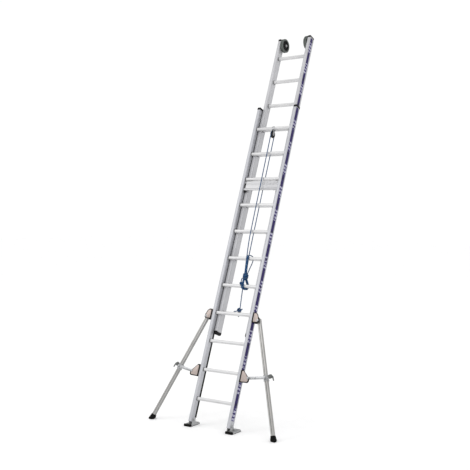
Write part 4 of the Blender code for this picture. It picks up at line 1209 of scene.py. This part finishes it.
def add_latch_panel():
    reach = BASE_X - BASE_WIDTH / 2 - 0.0003
    front, back = PLATE_N - 0.001, PLATE_N + 0.0006
    low, high = PLATE_BOTTOM_S, PLATE_TOP_S
    outline = latch_outline(low, (low + high) / 2, high)
    shape = Shape().add(prism(outline, 0.020 - reach, 0.0294, ACROSS), STEEL)
    shape.add(prism(outline, 0.0306, reach, ACROSS), SPECKLED)
    tab = (-reach, back - 0.0006, low + 0.002), (0.021 - reach, back + 0.0010, high - 0.002)
    # A thin dark strip across the panel's front above the rolled lower edge: painted shade, not a part.
    shade = (0.022 - reach, front - 0.0006, low + 0.0176), (reach - 0.001, front + 0.0004, low + 0.0196)
    shape.add(block(*tab, 0.0004), STEEL).add(block(*shade, 0.0002, 1), PAINTED_SHADE)
    dome = mm((0, 0), (5.6, 0), (5.2, 1.4), (3.4, 2.6), (0, 3.1))
    for side in SIDES.values():
        ends = sorted((side * reach, side * (reach - 0.002)))
        shape.add(block((ends[0], PLATE_N, low + 0.0005), (ends[1], 0.0085, high - 0.0005), 0.0006), STEEL)
        for s in (low + 0.016, high - 0.016):
            shape.turned(dome, ZINC, (side * (reach - 0.018), front, s), (0, -1, 0))
            shape.turned(dome, ZINC, (side * (reach - 0.002), 0.0005, s), (-side, 0, 0))
    seam = block((0.0296, front - 0.0002, low + 0.001), (0.0304, back, high - 0.001), 0.0001, 1)
    shape.add(seam, BLACK_METAL).piece("latch_panel", "base", "latch_steel", ["latch_plate"])


def add_fly_guides():
    """Curved plastic guides between the stiles and the panel, and a crescent on the panel's left end."""
    reach = BASE_X - BASE_WIDTH / 2 - 0.0003
    s = LATCH_S + 0.038
    for label, side, front, height in (("left", -1, -0.017, 0.070), ("right", 1, -0.0075, 0.030)):
        turns = [math.radians(100 + 160 * i / 18) for i in range(19)]
        outer = [(0.004 + (0.004 - front) * math.cos(a), s + height * math.sin(a)) for a in turns]
        inner = [(u + 0.0075, s + (v - s) * 0.90) for u, v in outer]
        ends = sorted((side * (reach - 0.003), side * (reach - 0.022)))
        guide = prism(outer + inner[::-1], *ends, ACROSS)
        Shape().add(guide, PLASTIC).piece(f"fly_guide_{label}", "base", "black_plastic")

    turns = [math.radians(-90 + 180 * i / 20) for i in range(21)]
    middle = (PLATE_BOTTOM_S + PLATE_TOP_S) / 2 + 0.004
    outer = [(0.0195 * math.cos(a) - reach, middle + 0.043 * math.sin(a)) for a in turns]
    inner = [(0.0085 * math.cos(a) - reach, middle + 0.043 * math.sin(a)) for a in turns[1:-1]]
    shape = Shape().add(prism(outer + inner[::-1], 0.0, 0.006, FLAT), PLASTIC, shift(y=STRAP_N))
    shape.piece("fly_guide_strap", "base", "black_plastic")


def add_latch_springs():
    """The pawls keep their CAD shape in black; each has a coil spring and two washers on the shaft."""
    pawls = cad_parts["latch_pawls"]
    pawls.data.materials.clear()
    pawls.data.materials.append(BLACK_METAL)
    shape = Shape()
    for side in SIDES.values():
        coil = []
        for i in range(8 * 14 + 1):
            a = 2 * math.pi * i / 14
            x = side * (LATCH_PAWL_X - 0.010 - 0.0024 * i / 14)
            coil.append(Vector((x, LATCH_N + 0.0066 * math.cos(a), LATCH_S + 0.0066 * math.sin(a))))
        arm = [coil[-1] + Vector((0, 0.0, 0.004)), coil[-1] + Vector((0, -0.004, 0.022))]
        shape.add(sweep(coil + arm, 0.0008, 8), ZINC)
        for x in (LATCH_PAWL_X - 0.0075, LATCH_PAWL_X + 0.0075):
            shape.rod(ZINC, (side * x, LATCH_N, LATCH_S), (1, 0, 0), 0.0085, -0.0022, 0.0022, 0.0051, 28)
    shape.piece("latch_springs", "latch", "bright_zinc")


add_camera()
add_studio()
fly_line, fly_path, hand_line, hand_path = add_ropes()
add_stiles()
add_glide_and_shade_strips()
add_rungs()
add_rung_plugs()
add_labels()
add_caps()
add_wheels()
add_shoes()
add_brackets()
add_legs()
add_collars()
add_tie_bars()
add_pulley()
add_eye_bolt()
eye_knot = add_knot()
end_knot = stopper_knot(hand_path[-1] + Vector((0, 0, -0.008)), -1).piece("end_knot", "base", "blue_rope")
add_latch_panel()
add_fly_guides()
add_latch_springs()

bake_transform(fly_line)
